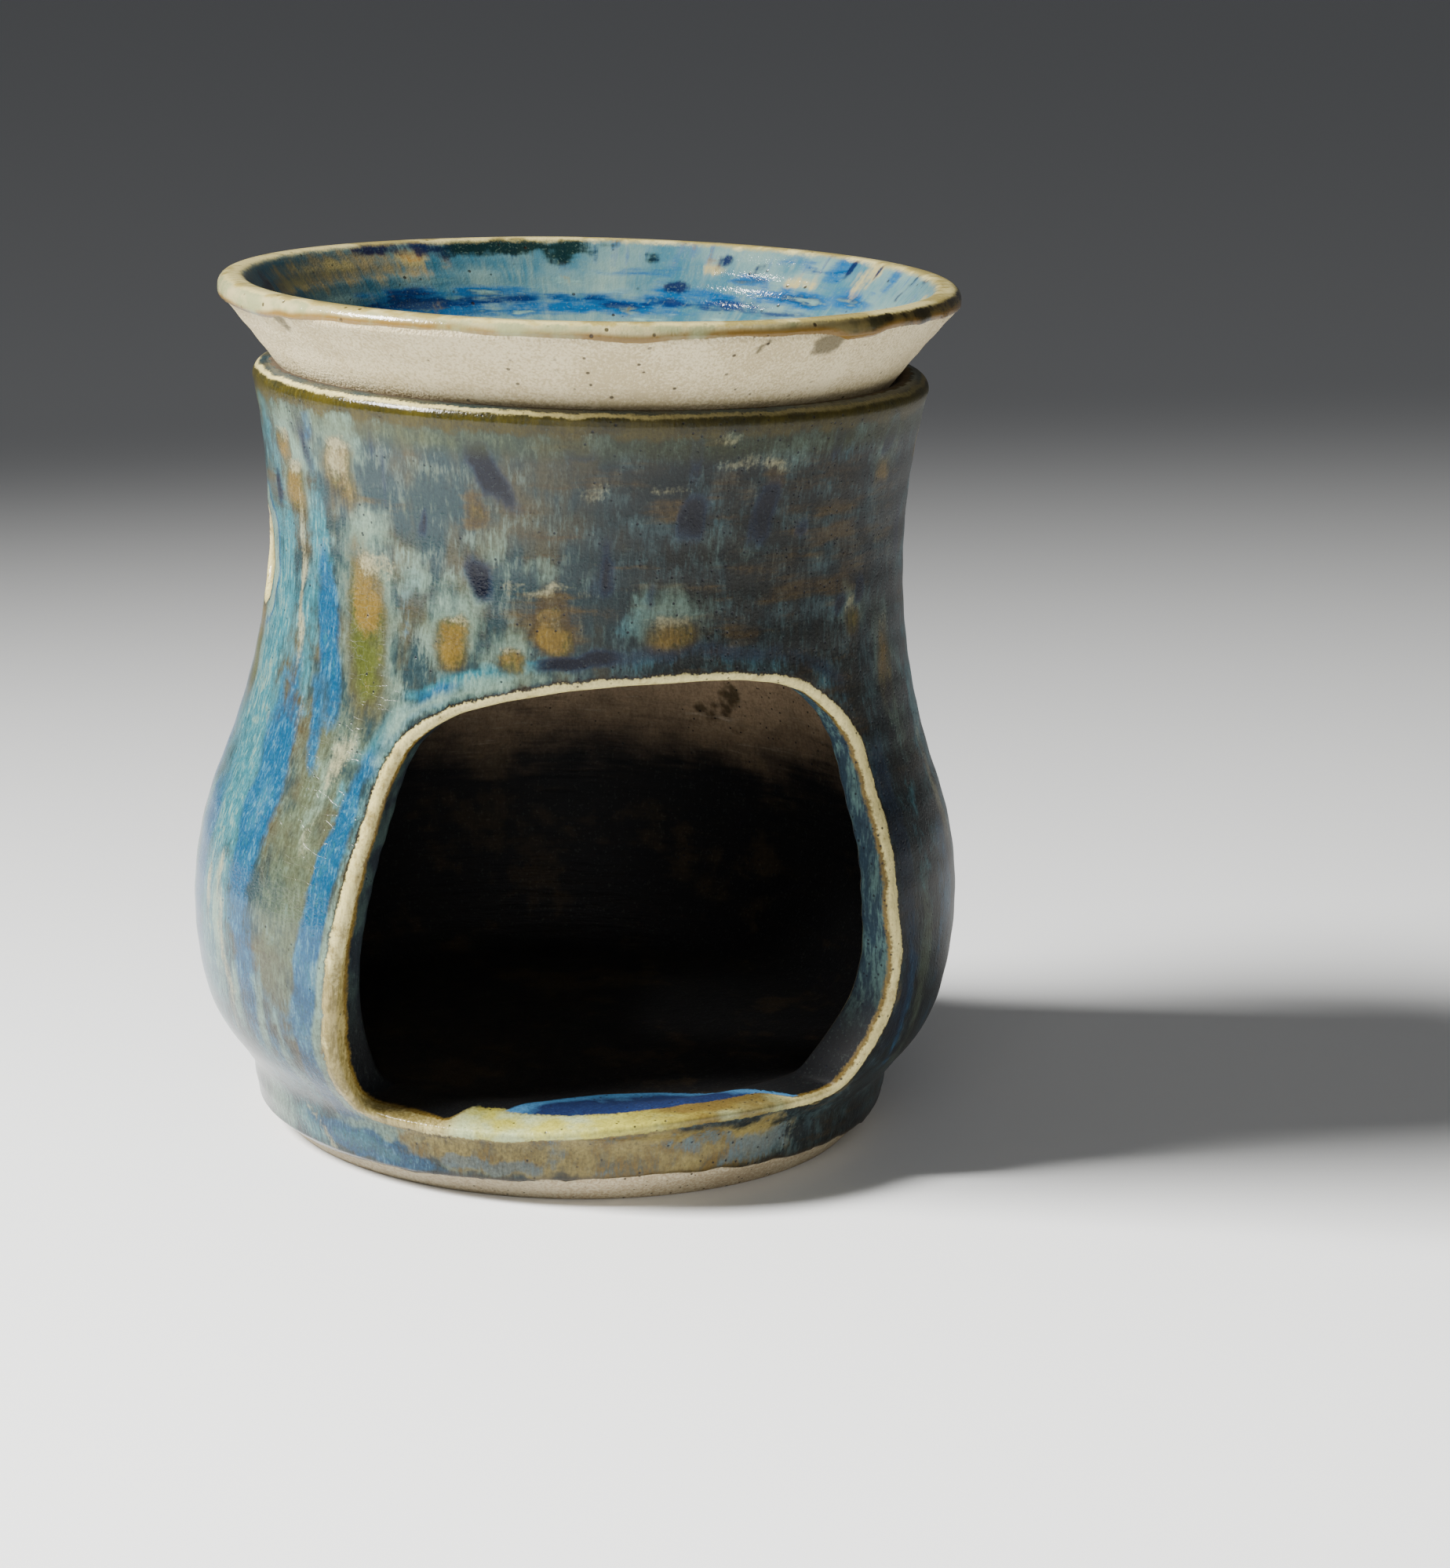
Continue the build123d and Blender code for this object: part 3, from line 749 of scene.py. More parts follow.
ripe_windows = [(middle, level + 0.6 * tall * (tall > 5), wide, tall * (0.6 if tall > 5 else 1),
                 slant, strength)
                for middle, level, wide, tall, slant, strength in thin_windows + far_windows]
crowned = thin_windows[:-3] + far_windows
on_head = smooth(height, 56, 62) * (part < 2)
pot_fields = {
    "side": side,
    "edge": np.clip(edge + 0.55 * on_head * (edge < 20), -30, 30),
    "inner": np.clip(inner, -30, 30),
    "lip": np.clip(from_lip, -8, 30),
    "line": np.where(part == 0, np.clip(height - glaze_line(angle), -8, 30), 30),
    "tan": smooth(angle, -24, -38) * (0.1 + 0.9 * smooth(height, 46, 20)),
    "right": smooth(angle, 12, 30) * smooth(height, 15, 19),
    "sill": smooth(height, 16.5, 14.0) * smooth(np.abs(angle - 1), 31, 27),
    "thin": marks(thin_windows, far_windows),
    "ripe": marks(ripe_windows),
    "halo": np.maximum(marks(haloes(crowned, 1.2, 2.2), milky_runs), door_milk),
    "crown": marks(crowns(crowned)),
    "brown": marks(brown_patches, far_browns),
    "cream": marks(caps, far_caps),
    "cobalt": np.maximum(marks(cobalt, far_cobalt), door_cobalt),
    "azure": np.maximum(marks(azure_runs, far_azure), door_azure),
    "turquoise": np.maximum(marks(turquoise_runs, far_turquoise), door_turquoise),
    "olive": marks(olive_fields, far_olive),
    "beige": np.maximum(marks(beige_fields), door_tan),
    "mist": marks(mist_fields),
    # The painted patch of light on the floor behind the sill.
    "glaze_pool_and_lit_floor": lit_floor_patch,
    "crazed": marks(crazed_fields, far_olive),
    # The side painted in shade, from the door's left round to the back; the glaze is also made satin there.
    "painted_shade": smooth(angle, -42, 32) * smooth(angle, 178, 120),
    # Where the lower left is scaled darker towards the bottom.
    "heel": smooth(height, 36, 12) * smooth(angle, -110, -85) * smooth(angle, 4, -20) * (part == 0),
}
pot = pot_clay.mesh("pot", pot_fields)

# %% [markdown]
# ## The dish
# The dish was turned on its foot: a flat base, one straight side, a rounded edge and a shallow bowl.
# The same grid and the same tables serve it. Its glaze fills the bowl and laps over the edge, and it
# tilts on the uneven rim, by about 0.6 mm from one side to the other.
# %% Profile of the dish
dish_low, dish_high = (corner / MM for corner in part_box("oil_dish"))
slope = math.radians(50)
edge_tall, dish_wall, dish_floor, base_round, edge_round, bowl_round = 2.4, 4.0, 4.6, 4.0, 1.5, 11.0
edge_radius, edge_top, base_height = dish_high.x, dish_high.z, dish_low.z
lap_height, bowl_floor = edge_top - edge_tall, base_height + dish_floor
base_radius = edge_radius - (lap_height - base_height) / math.tan(slope)
bowl_top = edge_radius + edge_tall / math.tan(slope) - dish_wall / math.sin(slope)
bowl_corner = bowl_top - (edge_top - bowl_floor) / math.tan(slope)


def rounded(corners, step):
    """Straight lines whose corners, given as radius, height and rounding, are arcs. An arc starts the
    rounding times the tangent of half the turn before its corner, and its center lies the rounding
    over the cosine of half the turn from it."""
    places = np.array([corner[:2] for corner in corners], float)
    here, stretches = places[0], []
    for before, corner, after, (_, _, rounding) in zip(places, places[1:], places[2:], corners[1:]):
        coming = (corner - before) / np.linalg.norm(corner - before)
        going = (after - corner) / np.linalg.norm(after - corner)
        half_turn = math.acos(float(coming @ going)) / 2
        start = corner - coming * rounding * math.tan(half_turn)
        end = corner + going * rounding * math.tan(half_turn)
        inward = (going - coming) / np.linalg.norm(going - coming)
        center = corner + inward * rounding / math.cos(half_turn)
        stretches += [line(here, start, step), arc(center, start, end, min(step, rounding / 4))]
        here = end
    return chain(*stretches, line(here, places[-1], step))


dish_profile = rounded([
    (0, base_height), (base_radius, base_height, base_round), (edge_radius, lap_height, 0.9),
    (edge_radius, edge_top, edge_round), (bowl_top, edge_top, edge_round),
    (bowl_corner, bowl_floor, bowl_round), (0, bowl_floor),
], 0.8)
crest_index = int(np.argmax(dish_profile[:, 1] + dish_profile[:, 0] * 1e-3))
print("dish profile points", len(dish_profile))

# %% [markdown]
# The dish has traces of its making too: clay a little lower than the glaze that laps over its side, and
# finger rings in the bowl. It sits a hair off the middle and tilted, as a loose dish does, and low
# enough to stay in the frame's box.
# %% Relief of the dish and its grid
lap_places, lap_heights = zip(
    (-180, 108.6), (-120, 108.2), (-80, 107.9), (-68, 107.7), (-62, 108.3), (-50, 108.9), (-30, 109.2),
    (-8, 109.0), (0, 108.6), (6, 109.1), (14, 109.2), (30, 108.9), (34, 107.7), (38, 107.8), (42, 108.8),
    (60, 108.6), (100, 108.3), (180, 108.6))


def lap_line(angle):
    """Height on the side where the lap of glaze ends, with fine waves."""
    wave = 0.16 * mottle(angle / 3 + 60, angle * 0, 31, 120)
    return np.interp(angle, lap_places, lap_heights) + wave


def dish_relief(angle, run, radius, height):
    """Clay set in 0.25 mm under the lap of glaze, a bead on the lap's end, rings in the bowl."""
    outer = run < dish_crest
    above = height - lap_line(angle)
    clay = -0.25 * smooth(above, 0.12, -0.12) * smooth(height, base_height + 2, base_height + 9) * outer
    turning = 0.04 * np.sin(height * 2.4) * outer * smooth(above, 0, -1)
    turning = turning * smooth(height, base_height + 3, base_height + 6)
    bowl = 0.07 * np.sin(run * math.tau / 2.6 + np.radians(angle)) * ~outer
    bowl = bowl * smooth(run, dish_crest + 3, dish_crest + 6)
    wander = 0.06 * (mottle(angle / 20 + 9, run / 9, 32, 18) - 1)
    wander = wander * smooth(height, base_height, base_height + 4) * smooth(radius, 0.5, 4)
    return clay + turning + bowl * smooth(radius, 2, 8) + wander


OFF_MIDDLE, LOWERED, TILT = 0.3, 0.45, (0.0050, 0.0045)
dish_side = Side(dish_profile, 1, dish_relief, lambda height: OFF_MIDDLE + 0 * height)
dish_crest = dish_side.run[crest_index]
dish_clay = Clay()
angle, run = np.broadcast_arrays(columns[None, :], dish_side.run[:, None])
place = dish_side.place(angle, run)
sunk = LOWERED * smooth(place[..., 2], base_height, base_height + 2)
place[..., 2] += TILT[0] * place[..., 0] + TILT[1] * place[..., 1] - sunk
dish_clay.grid(place, {"angle": angle, "run": run - dish_crest, "height": dish_side.flat(run)[1]}, True)
print("dish points", dish_clay.count, "crest at run", round(dish_crest, 1), "mm")

# %% [markdown]
# The dish's marks are tables too. In a bowl the height says little, so a mark lies by its run: how far
# down the bowl from the crest, in millimetres along the glaze.
# %% Tables of the dish's marks: angle, run down from the crest, half width, half run, slant, strength
dish_dark = [
    (-169, 2, 13.5, 2.4, 0, 1), (180, 3.4, 6, 2.2, 0, 0.8), (-146, 2.3, 4.5, 1.1, 0, 0.9),
    (-104, 5, 5, 3, 0, 0.5), (160.6, 4.6, 1.1, 1, 0, 0.8), (154.5, 9, 1.6, 1.1, 0, 0.9),
    (146, 4.4, 1, 1.2, 0, 0.8), (139, 5.2, 1, 1.3, 0, 0.6), (118, 2.6, 0.5, 3, 0.2, 0.9),
    (110, 2.4, 0.4, 3, 0.2, 0.8), (124, 0.6, 0.7, 1.2, 0.4, 0.8), (145, 0.5, 0.8, 0.8, 0, 0.8),
    (176, 0.5, 0.7, 0.8, 0, 0.9), (96, 3, 0.4, 3.4, 0.2, 0.7),
]
dish_tan = [
    (-152.3, 4.3, 2.6, 1.3, 0, 1), (-134, 4.6, 3.6, 1.2, 0, 0.75), (-124.2, 4.5, 2.8, 1.2, 0, 0.75),
    (-118, 6.4, 3.4, 1.4, 0, 0.7), (112.1, 4, 2.4, 3, 0.3, 0.8), (149, 6, 4, 1, 0, 0.5),
    (128, 6.5, 4, 1.1, 0, 0.6),
]
dish_brown = [(-130, 5, 16, 2.6, 0, 0.9), (-110, 6.4, 7, 2.4, 0, 0.7)]
dish_azure = [
    (-146, 10.5, 9, 1.6, 0, 0.9), (-165, 10, 8, 1.2, 0, 0.8), (172, 12.4, 14, 1.8, 0, 1),
    (150, 10.4, 9, 1.4, 0, 0.9), (128, 9.4, 8, 1.8, 0, 0.95), (121, 4, 2, 3.4, 0.2, 0.7),
    (112, 8, 5, 2.2, 0, 0.8), (141, 7.2, 4, 1.2, 0, 0.7), (160, 7, 7, 1.2, 0, 0.6),
    (104, 3, 1.6, 3, 0.2, 0.8), (132, 3, 3, 1.4, 0, 0.6), (-150, 13, 30, 2.2, 0, 0.8),
]
dish_far_azure = scattered(12, 12, -98, 92, (6, 13), (3.0, 6.0), (0.3, 0.6), 0.9)
dish_far_tan = scattered(13, 8, -90, 84, (3.4, 6.4), (1.8, 3.4), (0.4, 0.7), 0.9)
dish_far_dark = scattered(14, 10, -92, 90, (1.6, 5), (0.8, 2.6), (0.6, 1.2), 0.85)
dish_pool = [
    (-170, 11.8, 60, 1, 0, 0.9), (0, 12.2, 60, 1.2, 0, 0.7), (-148, 9.9, 5, 0.8, 0, 0.9),
    (140, 11.2, 7, 1, 0, 0.9),
]
dish_stains = [
    (30.5, 107.4, 2, 1.5, 0, 1), (18.4, 107.6, 0.5, 1.4, 0.6, 0.9), (-60.5, 107.6, 1.4, 1.2, 0, 0.8),
]
print("marks in the bowl", sum(map(len, (dish_dark, dish_tan, dish_brown, dish_azure, dish_pool))))

# %% [markdown]
# The dish gets numbers of the same kinds as the pot. The sine and cosine of the angle are among them,
# because they let a noise run round the bowl without a seam.
# %% Numbers for the dish's material
angle, run, height = (dish_clay.noted(name) for name in ("angle", "run", "height"))
radius = np.hypot(*np.vstack(dish_clay.points)[:, :2].T)
in_bowl = (run > 0).astype(float)


def bowl_marks(*tables):
    """The marks of some tables in the bowl, placed by their angle and run."""
    return spots(angle, run, np.maximum(radius, 12), sum(tables, [])) * in_bowl


dish_fields = {
    "run": np.clip(run, -12, 30),
    "lap": np.where(run < 0, np.clip(height - lap_line(angle), -12, 12), 12),
    "dark": bowl_marks(dish_dark, dish_far_dark),
    "thin": bowl_marks(dish_tan, dish_far_tan),
    "brown": bowl_marks(dish_brown),
    "azure": bowl_marks(dish_azure, dish_far_azure),
    "glaze_pool_and_lit_floor": bowl_marks(dish_pool),
    "sine": np.sin(np.radians(angle)),
    "cosine": np.cos(np.radians(angle)),
    "green": smooth(np.abs(np.abs(angle) - 180), 24, 17),
    "stain": spots(angle, height, radius, dish_stains) * (run < 0),
    # The right side of the dish, where its turned-down edge is painted in shade.
    "painted_shade": smooth(angle, 0, 45) * smooth(angle, 120, 80),
}
dish = dish_clay.mesh("dish", dish_fields)

# %% [markdown]
# ## Writing a material as sums
# A node tree can be clicked together, but a long one is hard to read. Here a value wraps a node's
# output, and Python's signs add the Math nodes, so a recipe reads like the sentence that describes it.
# %% A value with signs, and a finish that adds nodes


class Value:
    """A node's output. A sum, difference or product of values adds the Math node of that name."""

    def __init__(self, finish, socket):
        self.finish, self.socket = finish, socket

    def math(self, operation, first, second):
        return self.finish.node("ShaderNodeMath", {"operation": operation}, [first, second])

    def __add__(self, other):
        return self.math("ADD", self, other)

    def __radd__(self, other):
        return self.math("ADD", other, self)

    def __sub__(self, other):
        return self.math("SUBTRACT", self, other)

    def __rsub__(self, other):
        return self.math("SUBTRACT", other, self)

    def __mul__(self, other):
        return self.math("MULTIPLY", self, other)

    def __rmul__(self, other):
        return self.math("MULTIPLY", other, self)


class Finish:
    """A material whose nodes are added by one method, and the few mixtures that a glaze needs."""

    def __init__(self, name):
        self.material = bpy.data.materials.new(name)
        self.material.use_nodes = True
        self.tree = self.material.node_tree
        self.tree.nodes.clear()
        self.place = self.node("ShaderNodeTexCoord", {}, {}, "Object")

    def node(self, kind, settings, inputs, output=0):
        """Adds a node: its settings first, then its inputs, by place or name, from values or links."""
        made = self.tree.nodes.new(kind)
        for name, value in settings.items():
            setattr(made, name, value)
        for place, value in inputs.items() if isinstance(inputs, dict) else enumerate(inputs):
            if isinstance(value, Value):
                self.tree.links.new(value.socket, made.inputs[place])
            else:
                made.inputs[place].default_value = value
        return Value(self, made.outputs[output])

    def field(self, name):
        """One of the piece's own numbers, as the mesh carries it."""
        return self.node("ShaderNodeAttribute", {"attribute_name": name}, {}, "Fac")

    def stretched(self, scale):
        """The object's coordinates, each times its scale: a noise is drawn out where the scale is small."""
        return self.node("ShaderNodeMapping", {}, {"Vector": self.place, "Scale": scale})

    def noise(self, place, scale, detail=3, rough=0.6):
        """A noise from about -1 to 1: a noise node lies around 0.5 and seldom strays 0.2 from it."""
        raw = self.node("ShaderNodeTexNoise", {}, {
            "Vector": place, "Scale": scale, "Detail": detail, "Roughness": rough})
        return (raw - 0.5) * 5

    def dots(self, place, scale, reach):
        """Round specks, one to a cell: 1 where the nearest cell's middle is closer than the reach."""
        gap = self.node("ShaderNodeTexVoronoi", {}, {"Vector": place, "Scale": scale}, "Distance")
        return self.step(gap, reach, reach * 0.5)

    def step(self, value, low, high):
        """0 at low and 1 at high, with a smooth step between, also where high is the lower one."""
        return self.node("ShaderNodeMapRange", {"interpolation_type": "SMOOTHSTEP"}, [value, low, high, 0, 1])

    def blend(self, share, under, over):
        """Under times what is left of the share, plus over times the share."""
        return self.node("ShaderNodeMix", {"data_type": "RGBA"}, {0: share, 6: under, 7: over}, 2)

    def tone(self, under, over, value, low, high, share=None):
        """One colour below a soft step of a value and another above it, thinned by a share."""
        amount = self.step(value, low, high)
        return self.blend(amount if share is None else amount * share, under, over)

    def coat(self, paint, value, low, high, share=None):
        """One more layer over all that lies there, where a value passes a soft step."""
        self.colour = self.tone(self.colour, paint, value, low, high, share)

    def fired(self, rise, roughness, refraction):
        """The glaze out of the kiln: its layers' colour, its gloss and a relief of 0.2 mm at most."""
        relief = self.node("ShaderNodeBump", {}, {"Strength": 0.5, "Distance": 0.0002, "Height": rise})
        return self.surface({
            "Base Color": self.colour, "Roughness": roughness, "Normal": relief, "IOR": refraction})

    def surface(self, sockets):
        """The material, with one glossy and matt shader that has these sockets set."""
        shader = self.node("ShaderNodeBsdfPrincipled", {}, sockets)
        end = self.tree.nodes.new("ShaderNodeOutputMaterial")
        self.tree.links.new(shader.socket, end.inputs["Surface"])
        return self.material


def screen(red, green, blue):
    """A colour as a screen shows it, from 0 to 255, made linear light and then deepened by a power,
    because the film curve of the render pales what is lit well."""
    share = np.array([red, green, blue]) / 255
    linear = np.where(share <= 0.04045, share / 12.92, ((share + 0.055) / 1.055) ** 2.4)
    return (*(linear ** 1.3).tolist(), 1.0)


print("a screen's middle grey as a glaze", [round(part_of, 3) for part_of in screen(128, 128, 128)])

# %% [markdown]
# ## The running glaze
# A reduction glaze like this is one recipe that looks different by its thickness. Over an edge it
# thins to cream and ochre, on a flat wall it is a grey blue with brown, and where it runs together it
# turns milky turquoise and then azure. So the recipe goes on in layers, thin ones first, and each
# layer's edge is broken up by a noise drawn out downwards, the way that the glaze ran.
# %% Colours of the glaze
cream, straw, ochre = screen(206, 196, 146), screen(144, 132, 86), screen(122, 104, 54)
olive, umber, hairline = screen(88, 94, 48), screen(82, 68, 42), screen(52, 40, 22)
slate, warm, fog = screen(60, 78, 82), screen(92, 90, 74), screen(118, 130, 120)
# The near black teal after pine serves only the painted shade of the right side.
pine, painted_shade_teal = screen(40, 58, 56), screen(18, 26, 26)
turquoise, milk, azure = screen(66, 122, 132), screen(128, 148, 134), screen(36, 90, 120)
pale, deep, ink = screen(156, 152, 124), screen(22, 64, 102), screen(10, 18, 40)
bisque, sand, fleck = screen(220, 209, 178), screen(196, 183, 150), screen(60, 48, 36)
print("azure in linear light", [round(part_of, 3) for part_of in azure])

# %% [markdown]
# Noise is what keeps a mark from looking stamped. Some of it is drawn out downwards, as the glaze ran,
# some turned round the pot, as the brush went, and some is even: patches, clouds and fine grain.
# %% Noises of the pot's glaze
glaze = Finish("pot_glaze")
runs, turned = glaze.stretched((1, 1, 0.2)), glaze.stretched((0.25, 0.25, 2.0))
fibre, drift = glaze.noise(runs, 2000, 3, 0.7), glaze.noise(runs, 420)
patch, cloud = glaze.noise(glaze.place, 250), glaze.noise(glaze.place, 75)
grain, strokes = glaze.noise(glaze.place, 2700, 1), glaze.noise(turned, 420)
ragged = patch * 0.26 + drift * 0.14 + fibre * 0.12
painted_shade = glaze.field("painted_shade")
pores = glaze.dots(glaze.place, 900, 0.19) * glaze.step(patch + painted_shade * 0.9, 0.1, 0.7)
print("nodes for the noises", len(glaze.tree.nodes))

# %% [markdown]
# The ground first: slate, warmer where it is thin, with pale fibres, and painted shade on the right side, a
# darker, greener teal where that side turns from the light.
# %% Ground of the wall
glaze.colour = glaze.tone(slate, warm, cloud + drift * 0.5, -0.5, 0.7)
glaze.coat(fog, fibre + patch * 0.8, 0.0, 1.2, 0.6)
glaze.coat(pine, fibre * 0.7 + grain * 0.5 - cloud * 0.4, 0.1, 1.0, 0.45)
# Painted shade: the right side, by its mask, gets a near black teal over the ground.
glaze.coat(glaze.tone(painted_shade_teal, slate, patch + fibre * 0.6, -0.6, 0.9), painted_shade + ragged * 0.4, 0.1, 0.75, 0.85)
glaze.coat(umber, strokes * 0.6 + cloud * 0.5 + grain * 0.2, 0.25, 1.0, 0.55)
glaze.coat(screen(98, 108, 88), glaze.field("olive") + ragged, 0.2, 1.0, 0.75)
print("nodes with the ground", len(glaze.tree.nodes))

# %% [markdown]
# Then the marks, in the order in which they lie over each other: the milky runs, the azure in them,
# the brown where the wall is bare of runs, the thin windows with their pale rims, the cobalt, and last
# the beige and the mist over the foot.
# %% Marks on the wall
runny = glaze.field("turquoise") + ragged * 1.3
glaze.coat(turquoise, runny, 0.2, 1.0, 0.9)
glaze.coat(milk, runny + fibre * 0.5, 0.9, 1.6, 0.7)
flow = glaze.field("azure") + ragged * 0.8
glaze.coat(azure, flow, 0.3, 0.8)
glaze.coat(deep, flow + fibre * 0.7, 0.95, 1.6, 0.75)
glaze.coat(turquoise, flow - fibre * 0.7, 1.0, 1.7, 0.7)
glaze.coat(screen(92, 136, 148), flow, 0.5, 0.9, glaze.step(fibre + patch * 0.4, -0.1, 1.0) * 0.6)
glaze.coat(glaze.tone(umber, screen(94, 80, 46), strokes + patch * 0.6, -0.6, 1.2),
           glaze.field("brown") + ragged * 0.7 + strokes * 0.3, 0.25, 0.9, 0.8)
# Painted shade: the pale haloes are fainter on the right side.
glaze.coat(milk, glaze.field("halo") + ragged * 0.9, 0.15, 1.0, 0.85 - painted_shade * 0.5)
thin = glaze.field("thin") + ragged * 0.6
window = glaze.tone(olive, ochre, glaze.field("ripe") + patch * 0.4 + grain * 0.1, 0.3, 0.9)
glaze.coat(umber, thin, 0.15, 0.6, 0.75)
glaze.coat(window, thin, 0.35, 0.95, 0.92)
# Painted shade: the crowns too are fainter on the right side.
glaze.coat(pale, glaze.field("crown") + patch * 0.25 + grain * 0.15, 0.3, 0.9, 0.8 - painted_shade * 0.3)
glaze.coat(pale, glaze.field("cream") + ragged * 0.7 + grain * 0.1, 0.2, 0.95, 0.85)
stain = glaze.field("cobalt") + ragged * 0.7
glaze.coat(screen(32, 54, 84), stain, 0.1, 0.7, 0.65)
glaze.coat(ink, stain, 0.3, 0.95, 0.96)
beige = glaze.tone(straw, glaze.tone(ochre, warm, fibre, -0.5, 0.5), patch + cloud, -0.4, 0.8)
glaze.coat(beige, glaze.field("beige") + patch * 0.3, 0.3, 0.7)
glaze.coat(screen(98, 116, 122), glaze.field("mist") + ragged, 0.35, 0.8, 0.7)
print("nodes with the marks", len(glaze.tree.nodes))

# %% [markdown]
# An edge is where a glaze shows its thickness best. Out on the crest it is a cream skin, just beside it a
# brown hairline. Inside the cut the colour is painted light and shade: a dark copy where the cut turns from
# the light, a lighter grey blue copy on the right jamb, which faces the light, and near black low on the
# jambs. On the sill the skin widens to a pale strip. All of it follows the distance to the crest, as a
# painted line would.
# %% Door and vents
height = glaze.node("ShaderNodeSeparateXYZ", {}, [glaze.place], 2)
ripple = patch * 0.28 + grain * 0.14
edge = glaze.field("edge") + ripple
right, sill, tan = glaze.field("right"), glaze.field("sill"), glaze.field("tan")
glaze.coat(hairline, edge, 0.95, 0.6, (0.85 - sill * 0.8) * (1 - tan * 0.7))
# Painted light and shade: the dark cut colour stands for shade on the jambs turned from the light, the
# lighter grey blue copy for light on the right jamb, and the near black for shade low on the jambs.
cut = glaze.tone(screen(26, 40, 50), screen(56, 72, 70), patch + cloud, -0.5, 0.5)
lit_jamb = glaze.tone(screen(44, 66, 80), screen(90, 114, 112), fibre + drift, -0.6, 1.0)
cut = glaze.tone(glaze.blend(right, cut, lit_jamb), screen(12, 18, 26), height, 0.032, 0.018)
skin = glaze.tone(straw, screen(164, 152, 108), fibre + patch, -0.6, 0.8)
skin = glaze.tone(cream, skin, patch + grain * 0.4 + tan * 1.6, 0.0, 1.2)
strip = glaze.tone(screen(178, 186, 148), screen(176, 172, 92), cloud + patch * 0.4, -0.5, 0.4)
# Toward its right end, on the painted-shade side, the strip turns a darker tan: partly the glaze's own tan,
# partly painted shade.
strip = glaze.tone(strip, screen(120, 104, 58), painted_shade + cloud * 0.2, 0.7, 0.95)
glaze.coat(glaze.blend(sill, skin, strip), edge, 0.6, 0.3)
inward = edge + sill * 4.0 + tan * 1.7
glaze.coat(ochre, inward, -0.9, -1.4, 1 - sill * 0.6)
glaze.coat(cut, inward, -1.5, -2.1)
inner = glaze.field("inner") + ripple * 0.4
glaze.coat(cream, inner, 0.9, 0.6, glaze.step(inner, -0.7, -0.3) * right)
print("nodes with the door", len(glaze.tree.nodes))

# %% [markdown]
# The lip is an edge too, but a broad one: olive brown under it, a cream line on its corner, and the
# ground again on its flat top, where the glaze could lie still.
# %% Lip
rim = glaze.field("lip") + ripple * 0.9
glaze.coat(olive, rim, 7.0, 4.5, 0.35)
glaze.coat(glaze.tone(screen(94, 86, 36), screen(60, 56, 30), patch + grain * 0.5, -0.9, 1.1),
           rim + patch * 0.4 + fibre * 0.2, 3.6, 2.6, 0.92)
# Painted shade: the cream line on the lip's corner fades on the right side.
glaze.coat(cream, rim, 0.8, 0.4, 0.95 - painted_shade * 0.75)
glaze.coat(glaze.tone(slate, warm, cloud, -0.4, 0.5), rim, -0.2, -0.6)
print("nodes with the lip", len(glaze.tree.nodes))

# %% [markdown]
# The inside has the same glaze, pale brown half way up with pale streaks on its rings that are painted
# highlights. Darker under the neck and near black low down it is painted shade, and behind the sill a painted
# patch of light shows the floor's blue glaze. Below the glaze line the foot is bare clay with iron specks.
# %% Inside, foot and specks
# Painted shade: near black low in the chamber.
low = glaze.tone(screen(16, 18, 26), screen(58, 50, 36), cloud + patch * 0.5 + strokes * 0.3, 0.2, 1.0)
high = glaze.tone(screen(204, 182, 154), screen(120, 106, 84), cloud + patch * 0.4, 0.75, 1.2)
# Painted highlights: pale streaks along the rings.
high = glaze.tone(high, screen(250, 236, 212), strokes, 0.6, 1.2, 0.5)
wall = glaze.tone(low, high, height + cloud * 0.003 + strokes * 0.002, 0.034, 0.060)
wall = glaze.tone(wall, screen(40, 34, 28), strokes + fibre * 0.2, -0.3, 1.2, 0.35)
# Painted shade: darker under the neck.
wall = glaze.tone(wall, screen(60, 50, 40), height, 0.064, 0.074, 0.9)
glaze.coat(wall, glaze.field("side"), 0.8, 0.97)
# A painted patch of light: the floor's blue glaze, lit, behind the sill, where the rest of the inside is
# painted dark.
glaze_pool_and_lit_floor = glaze.field("glaze_pool_and_lit_floor") * (1 + patch * 0.2)
blue = glaze.tone(screen(84, 136, 174), screen(24, 54, 100), glaze_pool_and_lit_floor + cloud * 0.25 + patch * 0.15, 0.15, 0.8)
glaze.coat(blue, glaze_pool_and_lit_floor, 0.03, 0.09, glaze.step(inward, -1.3, -1.7))
glaze_end = glaze.field("line") + ripple * 0.15
glaze.coat(umber, glaze_end, 0.9, 0.2, 0.6)
bare = glaze.step(glaze_end, 0.1, -0.1)
clay = glaze.tone(screen(204, 194, 170), screen(182, 168, 142), grain + cloud * 0.6, -0.8, 0.9)
glaze.colour = glaze.blend(bare, glaze.colour, clay)
glaze.colour = glaze.blend(pores * 0.85, glaze.colour, glaze.blend(bare, ink, fleck))
# Painted shade: the colour is scaled darker on the right side, more on its lower belly, but not on the foot
# nor near the crests. The lower left is scaled darker towards the bottom.
dim = painted_shade * (0.25 + 0.25 * glaze.step(height, 0.056, 0.036)) * glaze.step(height, 0.008, 0.016)
light = 1 - (dim + glaze.field("heel") * 0.4) * glaze.step(edge, 0.3, 0.9)
light = light + (fibre * 0.22 + grain * 0.16 + patch * 0.12) * (1 - bare)
glaze.colour = glaze.node("ShaderNodeVectorMath", {"operation": "SCALE"}, {0: glaze.colour, "Scale": light})
glaze.coat(fog, grain + fibre * 0.5, 0.5, 1.3, 0.1 * (1 - bare))
print("nodes with the inside and the foot", len(glaze.tree.nodes))

